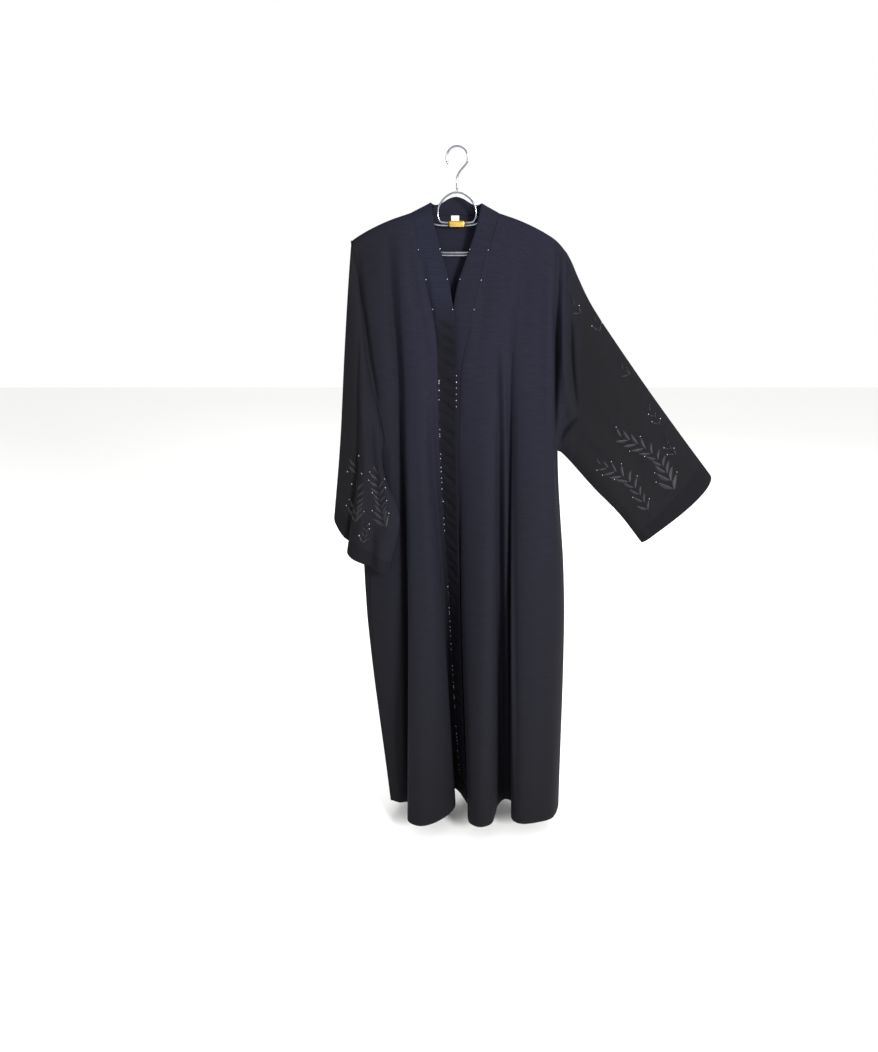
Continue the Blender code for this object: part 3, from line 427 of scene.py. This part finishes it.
# The front bands and the neck band: one long strip of crepe, folded double, stiffened and topstitched.
# Below the neck the right band lies on top, and its cloth puckers in short slanting creases.
RIGHT_BAND_HEM = ((20, 24, -1513), (34, -13, -1513))
LEFT_BAND_HEM = ((27, 26, -1513), (41, -10, -1513))
NECK_SEAM = ((-92, 0, -122.1), (85, 0, -123.1))
BAND_STEP = 3 * MM
BAND_THICKNESS = 1.2 * MM
PUCKER_GAPS = (31, 22, 27, 38, 24, 29, 19, 34, 26)   # spacing of the creases down the band, in mm
PUCKER_TOP, PUCKER_LOW = -0.34, -1.46
PUCKER_SLANT = 17                                    # how far a crease drops across the band, in mm


def puckers(points):
    """Short slanting creases across a band, unevenly spaced from below the neck to the hem."""
    lines, z, k = [], PUCKER_TOP, 0
    while z > PUCKER_LOW:
        row = points[np.argmin(np.abs(points[:, 0, 2] - z))]
        start, end = row[1, ::2] / MM, row[-3, ::2] / MM
        slant = PUCKER_SLANT * (1 + 0.35 * sin(2.3 * k))
        lines.append((-1, (start + (0, slant / 2), end - (0, slant / 2)), 3.5 + k % 3, 5.5 - 1.5 * (k % 2)))
        z -= PUCKER_GAPS[k % len(PUCKER_GAPS)] * MM
        k += 1
    return lines


# Band crepe: a painted bluish sheen like the chest's beside the neck, and a deeper black of painted shade
# below it, where the band puckers.
band_crepe = crepe("black_band_crepe", "#141521", "#0b0b11", (-0.37, -0.28), 1.15)
right_band_points = fine_cloth("band_right", RIGHT_BAND_HEM, step=BAND_STEP)
right_band_points = fold(right_band_points, puckers(right_band_points) + [NECK_CREASE])
left_band_points = fine_cloth("band_left", LEFT_BAND_HEM, step=BAND_STEP)
neck_band_points = fine_cloth("back_neck_band", (NECK_SEAM[1], NECK_SEAM[0]), step=BAND_STEP)
right_band = add_cloth("front_band_right", with_allowance(right_band_points, ("start",)), band_crepe,
                       BAND_THICKNESS)
left_band = add_cloth("front_band_left", with_allowance(left_band_points, ("end",)), black_crepe,
                      BAND_THICKNESS)
neck_band = add_cloth("neck_band", with_allowance(neck_band_points, ("first", "start", "end")), black_crepe,
                      BAND_THICKNESS)
hang_cloth(right_band, "band_right")
hang_cloth(left_band, "band_left")
hang_cloth(neck_band, "back_neck_band")


# Topstitching: rows of short black polyester stitches along the bands, the hem and the cuffs, drawn
# a little coarser than real ones.
STITCH = {"Spacing": 4.2 * MM, "Length": 3.2 * MM, "Radius": 0.22 * MM}
STITCH_SIDES = 5                 # sides of the small prism that each stitch is
BAND_INSET = 3.5 * MM
HEM_INSET = 20 * MM


def lengthwise(points, inset, lift=CREPE_THICKNESS / 2):
    """Line down a piece, at a distance from its first column, or from its last one if it is below zero.

    The lift is how far the line stands off the middle of the cloth, on its outer side.
    """
    if inset < 0:
        return lengthwise(points[:, ::-1], -inset, -lift)
    across = np.append(0, np.linalg.norm(np.diff(points, axis=1), axis=2).mean(axis=0).cumsum())
    k = min(np.searchsorted(across, inset), len(across) - 1)
    part = (inset - across[k - 1]) / (across[k] - across[k - 1])
    out = facing(points)
    return points[:, k - 1] * (1 - part) + points[:, k] * part + out[:, k] * lift


def crosswise(points, inset, lift=CREPE_THICKNESS / 2):
    """Line across a piece, at a distance from its first row, or from its last one if it is below zero."""
    return lengthwise(points.transpose(1, 0, 2), inset, -lift)


def node_tree(name, sizes):
    """A tree of geometry nodes with named sizes as its inputs."""
    tree = bpy.data.node_groups.new(name, "GeometryNodeTree")
    tree.interface.new_socket("Geometry", in_out="INPUT", socket_type="NodeSocketGeometry")
    tree.interface.new_socket("Geometry", in_out="OUTPUT", socket_type="NodeSocketGeometry")
    for size in sizes:
        tree.interface.new_socket(size, in_out="INPUT", socket_type="NodeSocketFloat")
    return tree, add_node(tree, "NodeGroupInput")


def finish_tree(tree, made, material):
    """Turn what a tree made into plain mesh of one material."""
    plain = add_node(tree, "GeometryNodeRealizeInstances", [("Geometry", made)])
    coloured = add_node(tree, "GeometryNodeSetMaterial", [("Geometry", plain.outputs["Geometry"])],
                        Material=material)
    add_node(tree, "NodeGroupOutput", [("Geometry", coloured.outputs["Geometry"])])


def run_tree(name, tree, lines, sizes):
    """Run a tree on lines of points, and keep what it makes as a plain mesh."""
    mesh = bpy.data.meshes.new(name)
    verts, edges = [], []
    for line in lines:
        edges += [(len(verts) + i, len(verts) + i + 1) for i in range(len(line) - 1)]
        verts += [tuple(point) for point in line]
    mesh.from_pydata(verts, edges, [])
    piece = link(name, mesh)
    modifier = piece.modifiers.new("made", "NODES")
    modifier.node_group = tree
    for socket in tree.interface.items_tree:
        if socket.in_out == "INPUT" and socket.name in sizes:
            modifier[socket.identifier] = sizes[socket.name]
    made = bpy.data.meshes.new_from_object(piece.evaluated_get(bpy.context.evaluated_depsgraph_get()))
    piece.modifiers.remove(modifier)
    piece.data = made
    made.shade_smooth()
    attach(piece, "root")


def grained(name, low, high, roughness, shine, metallic, grain_scale, grain_depth):
    """A thread or glass whose colour and surface vary in a fine grain."""
    material, tree = new_material(name)
    place = add_node(tree, "ShaderNodeTexCoord")
    grain = add_node(tree, "ShaderNodeTexNoise", [("Vector", place.outputs["Object"])], Scale=grain_scale,
                     Detail=2)
    tint = add_node(tree, "ShaderNodeMix", [("Factor", grain.outputs["Fac"])], data_type="RGBA")
    tint.inputs[6].default_value, tint.inputs[7].default_value = colour(low), colour(high)
    uneven = add_node(tree, "ShaderNodeBump", [("Height", grain.outputs["Fac"])], Strength=0.4,
                      Distance=grain_depth)
    surface = add_node(tree, "ShaderNodeBsdfPrincipled",
                       [("Base Color", tint.outputs[2]), ("Normal", uneven.outputs["Normal"])],
                       Roughness=roughness, Metallic=metallic)
    surface.inputs["Specular IOR Level"].default_value = shine
    add_node(tree, "ShaderNodeOutputMaterial", [("Surface", surface.outputs["BSDF"])])
    return material


# Black thread: a dull glint along each stitch and along the corded stems.
stitch_thread = grained("black_polyester_thread", "#0b0b0e", "#17171b", 0.6, 0.12, 0, 2500, 0.05 * MM)
tree, sizes = node_tree("stitch_row", STITCH)
rail = add_node(tree, "GeometryNodeMeshToCurve", [("Mesh", sizes.outputs["Geometry"])])
spots = add_node(tree, "GeometryNodeCurveToPoints",
                 [("Curve", rail.outputs["Curve"]), ("Length", sizes.outputs["Spacing"])], mode="LENGTH")
turn = add_node(tree, "FunctionNodeAlignRotationToVector", [("Vector", spots.outputs["Tangent"])], axis="Z")
stitch = add_node(tree, "GeometryNodeMeshCylinder",
                  [("Radius", sizes.outputs["Radius"]), ("Depth", sizes.outputs["Length"])],
                  Vertices=STITCH_SIDES)
placed = add_node(tree, "GeometryNodeInstanceOnPoints", [
    ("Points", spots.outputs["Points"]), ("Instance", stitch.outputs["Mesh"]),
    ("Rotation", turn.outputs["Rotation"])])
finish_tree(tree, placed.outputs["Instances"], stitch_thread)
run_tree("band_topstitching", tree, (
    lengthwise(right_band_points, BAND_INSET, BAND_THICKNESS / 2),
    lengthwise(right_band_points, -BAND_INSET, BAND_THICKNESS / 2),
    lengthwise(left_band_points, BAND_INSET, BAND_THICKNESS / 2),
    lengthwise(left_band_points, -BAND_INSET, BAND_THICKNESS / 2),
    crosswise(neck_band_points, BAND_INSET, BAND_THICKNESS / 2),
    crosswise(neck_band_points, -BAND_INSET, BAND_THICKNESS / 2)), STITCH)
run_tree("hem_topstitching", tree, (
    crosswise(right_front_points, HEM_INSET), crosswise(left_front_points, HEM_INSET),
    crosswise(back_points, HEM_INSET)), STITCH)
run_tree("cuff_topstitching", tree, (
    crosswise(right_sleeve_points, -CUFF_INSET), crosswise(left_sleeve_points, -CUFF_INSET)),
    STITCH)


# Glass beads, sewn on one by one: faceted black ones close together down the seam of the right band, with
# clear ones between them. Clear ones stand alone in a short row on its free edge, and far apart at the neck.
BEAD_ROW = {"Spacing": 5 * MM, "Radius": 1.1 * MM, "Clear share": 0.2}
EDGE_BEADS = {"Spacing": 12.5 * MM, "Radius": 1.0 * MM, "Clear share": 1.0}
NECK_BEADS = {"Spacing": 44 * MM, "Radius": 0.9 * MM, "Clear share": 1.0}
SEAM_BEADS_Z = (-0.44, -1.47)
EDGE_BEADS_Z = (-0.444, -0.512)
NECK_BEADS_Z = (-0.19, -0.31)
BEAD_INSET = 1.5 * MM
BEAD_LIFT = 1.2 * MM             # how far a bead's middle stands off the middle of the cloth
BEAD_SEED = 4


def between(line, heights):
    """The part of a line between two heights."""
    return line[(line[:, 2] < heights[0]) & (line[:, 2] > heights[1])]


def add_beads(name, lines, sizes, loose=False):
    """Sew beads at even steps along lines, or loose beads, one at each of their points."""
    tree, given = node_tree(name, sizes)
    if loose:
        spots = add_node(tree, "GeometryNodeMeshToPoints", [("Mesh", given.outputs["Geometry"])])
    else:
        rail = add_node(tree, "GeometryNodeMeshToCurve", [("Mesh", given.outputs["Geometry"])])
        spots = add_node(tree, "GeometryNodeCurveToPoints",
                         [("Curve", rail.outputs["Curve"]), ("Length", given.outputs["Spacing"])],
                         mode="LENGTH")
    chance = add_node(tree, "FunctionNodeRandomValue", [("Probability", given.outputs["Clear share"])],
                      data_type="BOOLEAN", Seed=BEAD_SEED)
    chosen = add_node(tree, "GeometryNodeStoreNamedAttribute",
                      [("Geometry", spots.outputs[0]), ("Value", chance.outputs[3])], data_type="BOOLEAN",
                      Name="clear")
    bead = add_node(tree, "GeometryNodeMeshIcoSphere", [("Radius", given.outputs["Radius"])], Subdivisions=2)
    placed = add_node(tree, "GeometryNodeInstanceOnPoints",
                      [("Points", chosen.outputs["Geometry"]), ("Instance", bead.outputs["Mesh"])])
    plain = add_node(tree, "GeometryNodeRealizeInstances", [("Geometry", placed.outputs["Instances"])])
    black = add_node(tree, "GeometryNodeSetMaterial", [("Geometry", plain.outputs["Geometry"])],
                     Material=black_glass)
    clear = add_node(tree, "GeometryNodeInputNamedAttribute", data_type="BOOLEAN", Name="clear")
    both = add_node(tree, "GeometryNodeSetMaterial",
                    [("Geometry", black.outputs["Geometry"]), ("Selection", clear.outputs["Attribute"])],
                    Material=clear_glass)
    add_node(tree, "NodeGroupOutput", [("Geometry", both.outputs["Geometry"])])
    run_tree(name, tree, lines, sizes)


# Black glass gives small hard glints in the cloth. Clear glass has a silver lining, and looks white.
black_glass = grained("black_glass_bead", "#08080c", "#18181f", 0.08, 0.5, 0, 900, 0.1 * MM)
clear_glass = grained("silver_lined_glass_bead", "#b8b8c4", "#e6e6ee", 0.16, 0.5, 0.7, 900, 0.1 * MM)
band_seam = lengthwise(right_band_points, BEAD_INSET, BEAD_LIFT)
band_edge = lengthwise(right_band_points, -BEAD_INSET, BEAD_LIFT)
add_beads("band_seam_beads", (between(band_seam, SEAM_BEADS_Z),), BEAD_ROW)
add_beads("band_edge_beads", (between(band_edge, EDGE_BEADS_Z),), EDGE_BEADS)
add_beads("neck_beads", (
    between(band_seam, NECK_BEADS_Z), between(band_edge, NECK_BEADS_Z),
    between(lengthwise(left_band_points, BEAD_INSET, BEAD_LIFT), NECK_BEADS_Z),
    between(lengthwise(left_band_points, -BEAD_INSET, BEAD_LIFT), NECK_BEADS_Z)), NECK_BEADS)


# Embroidery: fern sprigs worked in black rayon satin stitch, with a corded stem, lens-shaped leaves in
# pairs and loose glass beads. They stand above the plain cuffs and spill over the sleeves' top edges.
LEAF_ACROSS, LEAF_ALONG = 5, 9   # points across and along a leaf
LEAF_SLIM = 0.24                 # width of a leaf, as a share of its length
LEAF_CURVE = 0.25                # how far it curves sideways, as a share of its width
LEAF_RISE = 1.0 * MM
LEAF_SUNK = 0.1 * MM             # how far its edge lies in the cloth
LEAF_TURN = 36                   # degrees between a leaf and its stem
STEM_POINTS = 24
STEM_RADIUS = 0.7 * MM
STEM = {"Radius": STEM_RADIUS}
STEM_SIDES = 6
SPRIG_BEADS = {"Radius": 1.0 * MM, "Clear share": 0.55}
STEEP = 0.35                     # nothing is worked where the cloth turns away
LEFT_SPRIGS = (
    # side, base and tip as X and Z, bend of the stem, pairs of leaves, length of the first ones, in mm
    (-1, (492, -722), (322, -568), -34, 10, 33),
    (-1, (438, -766), (284, -628), -26, 9, 29),
    (-1, (262, -322), (232, -276), 5, 2, 15),
    (-1, (300, -360), (270, -318), -6, 2, 15),
    (-1, (372, -448), (340, -412), 5, 2, 15),
    (-1, (440, -560), (396, -508), -7, 3, 17),
    (-1, (484, -622), (452, -578), 5, 3, 16),
    (1, (488, -718), (330, -564), -30, 10, 32),
    (1, (430, -762), (282, -630), -22, 9, 28),
    (1, (292, -356), (262, -312), 6, 2, 15),
    (1, (436, -556), (398, -512), 6, 3, 16),
)
RIGHT_SPRIGS = (
    (-1, (-222, -776), (-222, -604), -9, 10, 27),
    (-1, (-148, -786), (-164, -616), 10, 10, 27),
    (-1, (-206, -812), (-196, -752), -4, 4, 15),
    (1, (-222, -770), (-214, -610), 9, 10, 26),
    (1, (-176, -792), (-172, -640), -9, 10, 26),
)


def on_cloth(skin, x, z, side):
    """Point and direction of the outer face of the cloth, seen from one side."""
    return skin.ray_cast((x, side, z), (0, -side, 0))[:2]


def work_leaf(made, skin, root, tip, side, width):
    """Work one satin-stitch leaf on the cloth, from its root to its tip."""
    size = float(np.linalg.norm(tip - root))
    across = np.array((-(tip - root)[1], (tip - root)[0])) / np.linalg.norm(tip - root)
    points, lengths = [], []
    for along in np.linspace(0, 1, LEAF_ALONG):
        half = width / 2 * sin(pi * min(max(along, 0.02), 0.98)) ** 0.75
        for part in np.linspace(-1, 1, LEAF_ACROSS):
            x, z = root + (tip - root) * along + across * (half * part + width * LEAF_CURVE * sin(pi * along))
            place, out = on_cloth(skin, x, z, side)
            if place is None or abs(out.y) < STEEP or points and (place - points[-1]).length > 3 * width:
                return
            rise = (1 - part ** 2) * sin(pi * along) ** 0.5 * LEAF_RISE - LEAF_SUNK
            points.append(place + out * rise)
            lengths.append((along * size, part * half))
    first = len(made["points"])
    made["points"] += points
    made["lengths"] += lengths
    for i in range(LEAF_ALONG - 1):
        for j in range(LEAF_ACROSS - 1):
            k = first + i * LEAF_ACROSS + j
            face = (k, k + 1, k + 1 + LEAF_ACROSS, k + LEAF_ACROSS)
            made["faces"].append(face if side > 0 else face[::-1])


def work_sprig(made, skin, side, base, tip, bend, pairs, leaf):
    """Work one sprig: a curved stem, leaves in pairs that shorten towards its tip, and its beads."""
    base, tip = np.array(base) * MM, np.array(tip) * MM
    along = (tip - base) / np.linalg.norm(tip - base)
    across = np.array((-along[1], along[0]))
    at = np.linspace(0, 1, STEM_POINTS)
    stem = base + np.outer(at, tip - base) + np.outer(np.sin(pi * at) * bend * MM, across)
    places = [on_cloth(skin, x, z, side) for x, z in stem]
    run = [place + out * STEM_RADIUS * 0.6 for place, out in places
           if place is not None and abs(out.y) > STEEP]
    if len(run) > 3:
        made["stems"].append(run)
    for k in range(pairs):
        part = 0.10 + 0.84 * k / pairs
        root = base + (tip - base) * part + across * (sin(pi * part) * bend * MM)
        lean = along + across * (pi * cos(pi * part) * bend * MM / np.linalg.norm(tip - base))
        lean /= np.linalg.norm(lean)
        size = leaf * MM * (1 - 0.45 * part ** 2) * (1 + 0.16 * sin(7.1 * k + leaf))
        for hand in (-1, 1):
            if k + 1 == pairs and hand > 0:
                continue
            turn = radians(LEAF_TURN + 10 * sin(5.3 * k + hand)) * hand
            way = lean * cos(turn) + np.array((-lean[1], lean[0])) * sin(turn)
            start = root + lean * (hand * 2 * MM)
            work_leaf(made, skin, start, start + way * size, side, size * LEAF_SLIM)
            place, out = on_cloth(skin, *(start + way * size * 1.12), side)
            if (k + hand) % 3 and place is not None and abs(out.y) > STEEP:
                made["beads"].append(place + out * MM)


def embroider(name, sleeve, sprigs):
    """Work the sprigs of one sleeve, and keep their leaves, stems and beads as pieces."""
    skin = BVHTree.FromObject(sleeve, bpy.context.evaluated_depsgraph_get())
    made = {"points": [], "lengths": [], "faces": [], "stems": [], "beads": []}
    for sprig in sprigs:
        work_sprig(made, skin, *sprig)
    mesh = bpy.data.meshes.new(name + "_leaves")
    mesh.from_pydata(made["points"], [], made["faces"])
    layer = mesh.uv_layers.new(name="cloth")
    lengths = [made["lengths"][k] for face in made["faces"] for k in face]
    layer.data.foreach_set("uv", np.array(lengths).ravel())
    mesh.shade_smooth()
    mesh.materials.append(satin_stitch)
    leaves = link(name + "_leaves", mesh)
    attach(leaves, "root")
    run_tree(name + "_stems", cord_tree, made["stems"], STEM)
    add_beads(name + "_beads", [[bead] for bead in made["beads"]], SPRIG_BEADS, loose=True)


# Rayon floss catches the light in fine lines across each leaf, drawn 1 mm apart instead of 0.4 mm.
satin_stitch, tree = new_material("rayon_satin_stitch")
floss = add_node(tree, "ShaderNodeUVMap", uv_map="cloth")
strands = add_node(tree, "ShaderNodeTexWave", [("Vector", floss.outputs["UV"])], Scale=314, Distortion=0.6)
uneven = add_node(tree, "ShaderNodeTexNoise", [("Vector", floss.outputs["UV"])], Scale=260)
tint = add_node(tree, "ShaderNodeMix", [("Factor", uneven.outputs["Fac"])], data_type="RGBA")
tint.inputs[6].default_value, tint.inputs[7].default_value = colour("#0b0b0f"), colour("#17181e")
ribs = add_node(tree, "ShaderNodeBump", [("Height", strands.outputs["Fac"])], Strength=0.5, Distance=0.3 * MM)
surface = add_node(tree, "ShaderNodeBsdfPrincipled",
                   [("Base Color", tint.outputs[2]), ("Normal", ribs.outputs["Normal"])], Roughness=0.4)
surface.inputs["Specular IOR Level"].default_value = 0.22
add_node(tree, "ShaderNodeOutputMaterial", [("Surface", surface.outputs["BSDF"])])

cord_tree, sizes = node_tree("corded_stem", STEM)
rail = add_node(cord_tree, "GeometryNodeMeshToCurve", [("Mesh", sizes.outputs["Geometry"])])
outline = add_node(cord_tree, "GeometryNodeCurvePrimitiveCircle", [("Radius", sizes.outputs["Radius"])],
                   Resolution=STEM_SIDES)
cord = add_node(cord_tree, "GeometryNodeCurveToMesh",
                [("Curve", rail.outputs["Curve"]), ("Profile Curve", outline.outputs["Curve"])])
cord.inputs["Fill Caps"].default_value = True
finish_tree(cord_tree, cord.outputs["Mesh"], stitch_thread)
embroider("left_sleeve_sprig", left_sleeve, LEFT_SPRIGS)
embroider("right_sleeve_sprig", right_sleeve, RIGHT_SPRIGS)


# The label: a small blank of white woven taffeta with its ends folded under, sewn inside the back neck.
LABEL_X = (-11.2, 4.7)
LABEL_Z = (-127.2, -139.2)
LABEL_STEPS = 14
LABEL_THICKNESS = 0.5 * MM
LABEL_LIFT = 1.0 * MM
LABEL_ROLL = 0.35 * MM           # how far its middle stands out beyond its sewn sides

places, faces = [], []
for part in (back_points, neck_band_points):
    rows, columns = part.shape[:2]
    corners = [len(places) + i * columns + j for i in range(rows - 1) for j in range(columns - 1)]
    faces += [(k, k + 1, k + 1 + columns, k + columns) for k in corners]
    places += [tuple(point) for point in part.reshape(-1, 3)]
inside = BVHTree.FromPolygons(places, faces)
label_points = np.zeros((LABEL_STEPS, LABEL_STEPS, 3))
for i, z in enumerate(np.linspace(*LABEL_Z, LABEL_STEPS)):
    for j, x in enumerate(np.linspace(*LABEL_X, LABEL_STEPS)):
        place = inside.ray_cast((x * MM, 0, z * MM), (0, 1, 0))[0]
        roll = LABEL_ROLL * (1 - abs(2 * j / (LABEL_STEPS - 1) - 1) ** 6)
        label_points[i, j] = place - Vector((0, LABEL_LIFT + roll, 0))

# White taffeta shows a close rib, drawn 0.5 mm apart, and stays a little grey in the neck's shade.
white_taffeta, tree = new_material("white_woven_taffeta")
weave = add_node(tree, "ShaderNodeUVMap", uv_map="cloth")
picks = add_node(tree, "ShaderNodeTexWave", [("Vector", weave.outputs["UV"])], Scale=628, bands_direction="Y")
soil = add_node(tree, "ShaderNodeTexNoise", [("Vector", weave.outputs["UV"])], Scale=300)
tint = add_node(tree, "ShaderNodeMix", [("Factor", soil.outputs["Fac"])], data_type="RGBA")
tint.inputs[6].default_value, tint.inputs[7].default_value = colour("#d8d6d0"), colour("#f4f3f0")
ribs = add_node(tree, "ShaderNodeBump", [("Height", picks.outputs["Fac"])], Strength=0.3, Distance=0.1 * MM)
surface = add_node(tree, "ShaderNodeBsdfPrincipled",
                   [("Base Color", tint.outputs[2]), ("Normal", ribs.outputs["Normal"])], Roughness=0.6)
add_node(tree, "ShaderNodeOutputMaterial", [("Surface", surface.outputs["BSDF"])])
label = add_cloth("blank_neck_label", label_points, white_taffeta, LABEL_THICKNESS)
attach(label, "root")
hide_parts("neck_label")


# The hanger: bright chromed steel wire, bent into a hook, a handle loop and a wide frame with a second
# bar inside it, and held together by a strip of brass rolled round its middle.
def metal(name, low, high, roughness, scratch, bump_depth):
    """A polished or brushed metal, a little uneven in colour, with fine scratches that run across it."""
    material, tree = new_material(name)
    place = add_node(tree, "ShaderNodeTexCoord")
    drawn = add_node(tree, "ShaderNodeMapping", [("Vector", place.outputs["Object"])], Scale=scratch)
    lines = add_node(tree, "ShaderNodeTexNoise", [("Vector", drawn.outputs["Vector"])], Scale=1, Detail=3)
    tint = add_node(tree, "ShaderNodeMix", [("Factor", lines.outputs["Fac"])], data_type="RGBA")
    tint.inputs[6].default_value, tint.inputs[7].default_value = colour(low), colour(high)
    dull = add_node(tree, "ShaderNodeMapRange", [("Value", lines.outputs["Fac"])], **{
        "From Min": 0.3, "From Max": 0.7, "To Min": roughness, "To Max": roughness + 0.12})
    grain = add_node(tree, "ShaderNodeBump", [("Height", lines.outputs["Fac"])], Strength=0.3,
                     Distance=bump_depth)
    surface = add_node(tree, "ShaderNodeBsdfPrincipled", [
        ("Base Color", tint.outputs[2]), ("Roughness", dull.outputs["Result"]),
        ("Normal", grain.outputs["Normal"])], Metallic=1)
    add_node(tree, "ShaderNodeOutputMaterial", [("Surface", surface.outputs["BSDF"])])
    return material


def smooth_copy(node, name, material):
    """A rounder copy of a solid of the hanger, shown in its place."""
    shape = bmesh.new()
    shape.from_mesh(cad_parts[node].data)
    bmesh.ops.remove_doubles(shape, verts=shape.verts, dist=WELD)
    bmesh.ops.join_triangles(shape, faces=shape.faces, angle_face_threshold=0.5, angle_shape_threshold=1)
    mesh = bpy.data.meshes.new(name)
    shape.to_mesh(mesh)
    shape.free()
    mesh.materials.clear()
    mesh.materials.append(material)
    mesh.shade_smooth()
    piece = link(name, mesh)
    rounded = piece.modifiers.new("rounded", "SUBSURF")
    rounded.levels = rounded.render_levels = 1
    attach(piece, "root")
    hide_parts(node)


# Chrome: a mirror with a faint haze. Brass: warm and satin, with fine scratches round the clamp.
chrome = metal("chromed_steel_wire", "#5e6067", "#a6a9b0", 0.14, (90, 90, 90), 0.02 * MM)
brass = metal("brushed_brass", "#a8812f", "#d9b45a", 0.28, (60, 900, 900), 0.05 * MM)
for node in ("hanger_hook", "hanger_loop", "hanger_frame", "hanger_bar"):
    smooth_copy(node, node.replace("hanger", "chrome"), chrome)
smooth_copy("hanger_clamp", "brass_clamp", brass)


# Camera, lamps and floor: the camera is level with the neck and looks down. White daylight comes from all
# round, with a strong key lamp from the wearer's left, and the floor is pale and matte.
SENSOR = 36
FOCAL_PIXELS, FRAME_PIXELS = 900, 1052               # focal length and frame height
CAMERA_PLACE = (-0.036, -1.912, -0.128)
CAMERA_PITCH = 19                                    # degrees below level
FLOOR_Z = -1.56
FLOOR_REACH = 6
LAMP_TARGET = (0.1, 0, -0.8)
LAMPS = (
    # name        place                  size  power
    ("key",       (2.0, -3.0, 0.3),      1.0, 220),
    ("fill",      (-2.2, -1.6, 0.6),     1.6,  10),
    ("back",      (0.8, 2.4, 1.2),       2.0,  60),
)

camera = bpy.data.objects.new("camera", bpy.data.cameras.new("camera"))
bpy.context.scene.collection.objects.link(camera)
camera.location = CAMERA_PLACE
camera.rotation_euler = (radians(90 - CAMERA_PITCH), 0, 0)
camera.data.sensor_fit = "VERTICAL"
camera.data.sensor_height = SENSOR
camera.data.lens = SENSOR * FOCAL_PIXELS / FRAME_PIXELS
bpy.context.scene.camera = camera

floor_mesh = bpy.data.meshes.new("floor")
floor_corners = [(x * FLOOR_REACH, y * FLOOR_REACH, FLOOR_Z) for x, y in ((-1, -1), (1, -1), (1, 1), (-1, 1))]
floor_mesh.from_pydata(floor_corners, [], [(0, 1, 2, 3)])
floor = bpy.data.objects.new("floor", floor_mesh)
bpy.context.scene.collection.objects.link(floor)
pale = bpy.data.materials.new("pale_floor")
pale.use_nodes = True
paint = pale.node_tree.nodes["Principled BSDF"]
paint.inputs["Base Color"].default_value = colour("#f2f2f0")
paint.inputs["Roughness"].default_value = 0.8
floor_mesh.materials.append(pale)

world = bpy.data.worlds.new("daylight")
world.use_nodes = True
sky = world.node_tree.nodes["Background"]
sky.inputs["Color"].default_value = (1, 1, 1, 1)
sky.inputs["Strength"].default_value = 1.0
bpy.context.scene.world = world
bpy.context.scene.view_settings.view_transform = "Standard"
for name, place, size, power in LAMPS:
    lamp = bpy.data.lights.new(name, "AREA")
    lamp.shape, lamp.size, lamp.energy = "DISK", size, power
    light = bpy.data.objects.new(name, lamp)
    light.location = place
    light.rotation_euler = (Vector(LAMP_TARGET) - Vector(place)).to_track_quat("-Z", "Y").to_euler()
    bpy.context.scene.collection.objects.link(light)
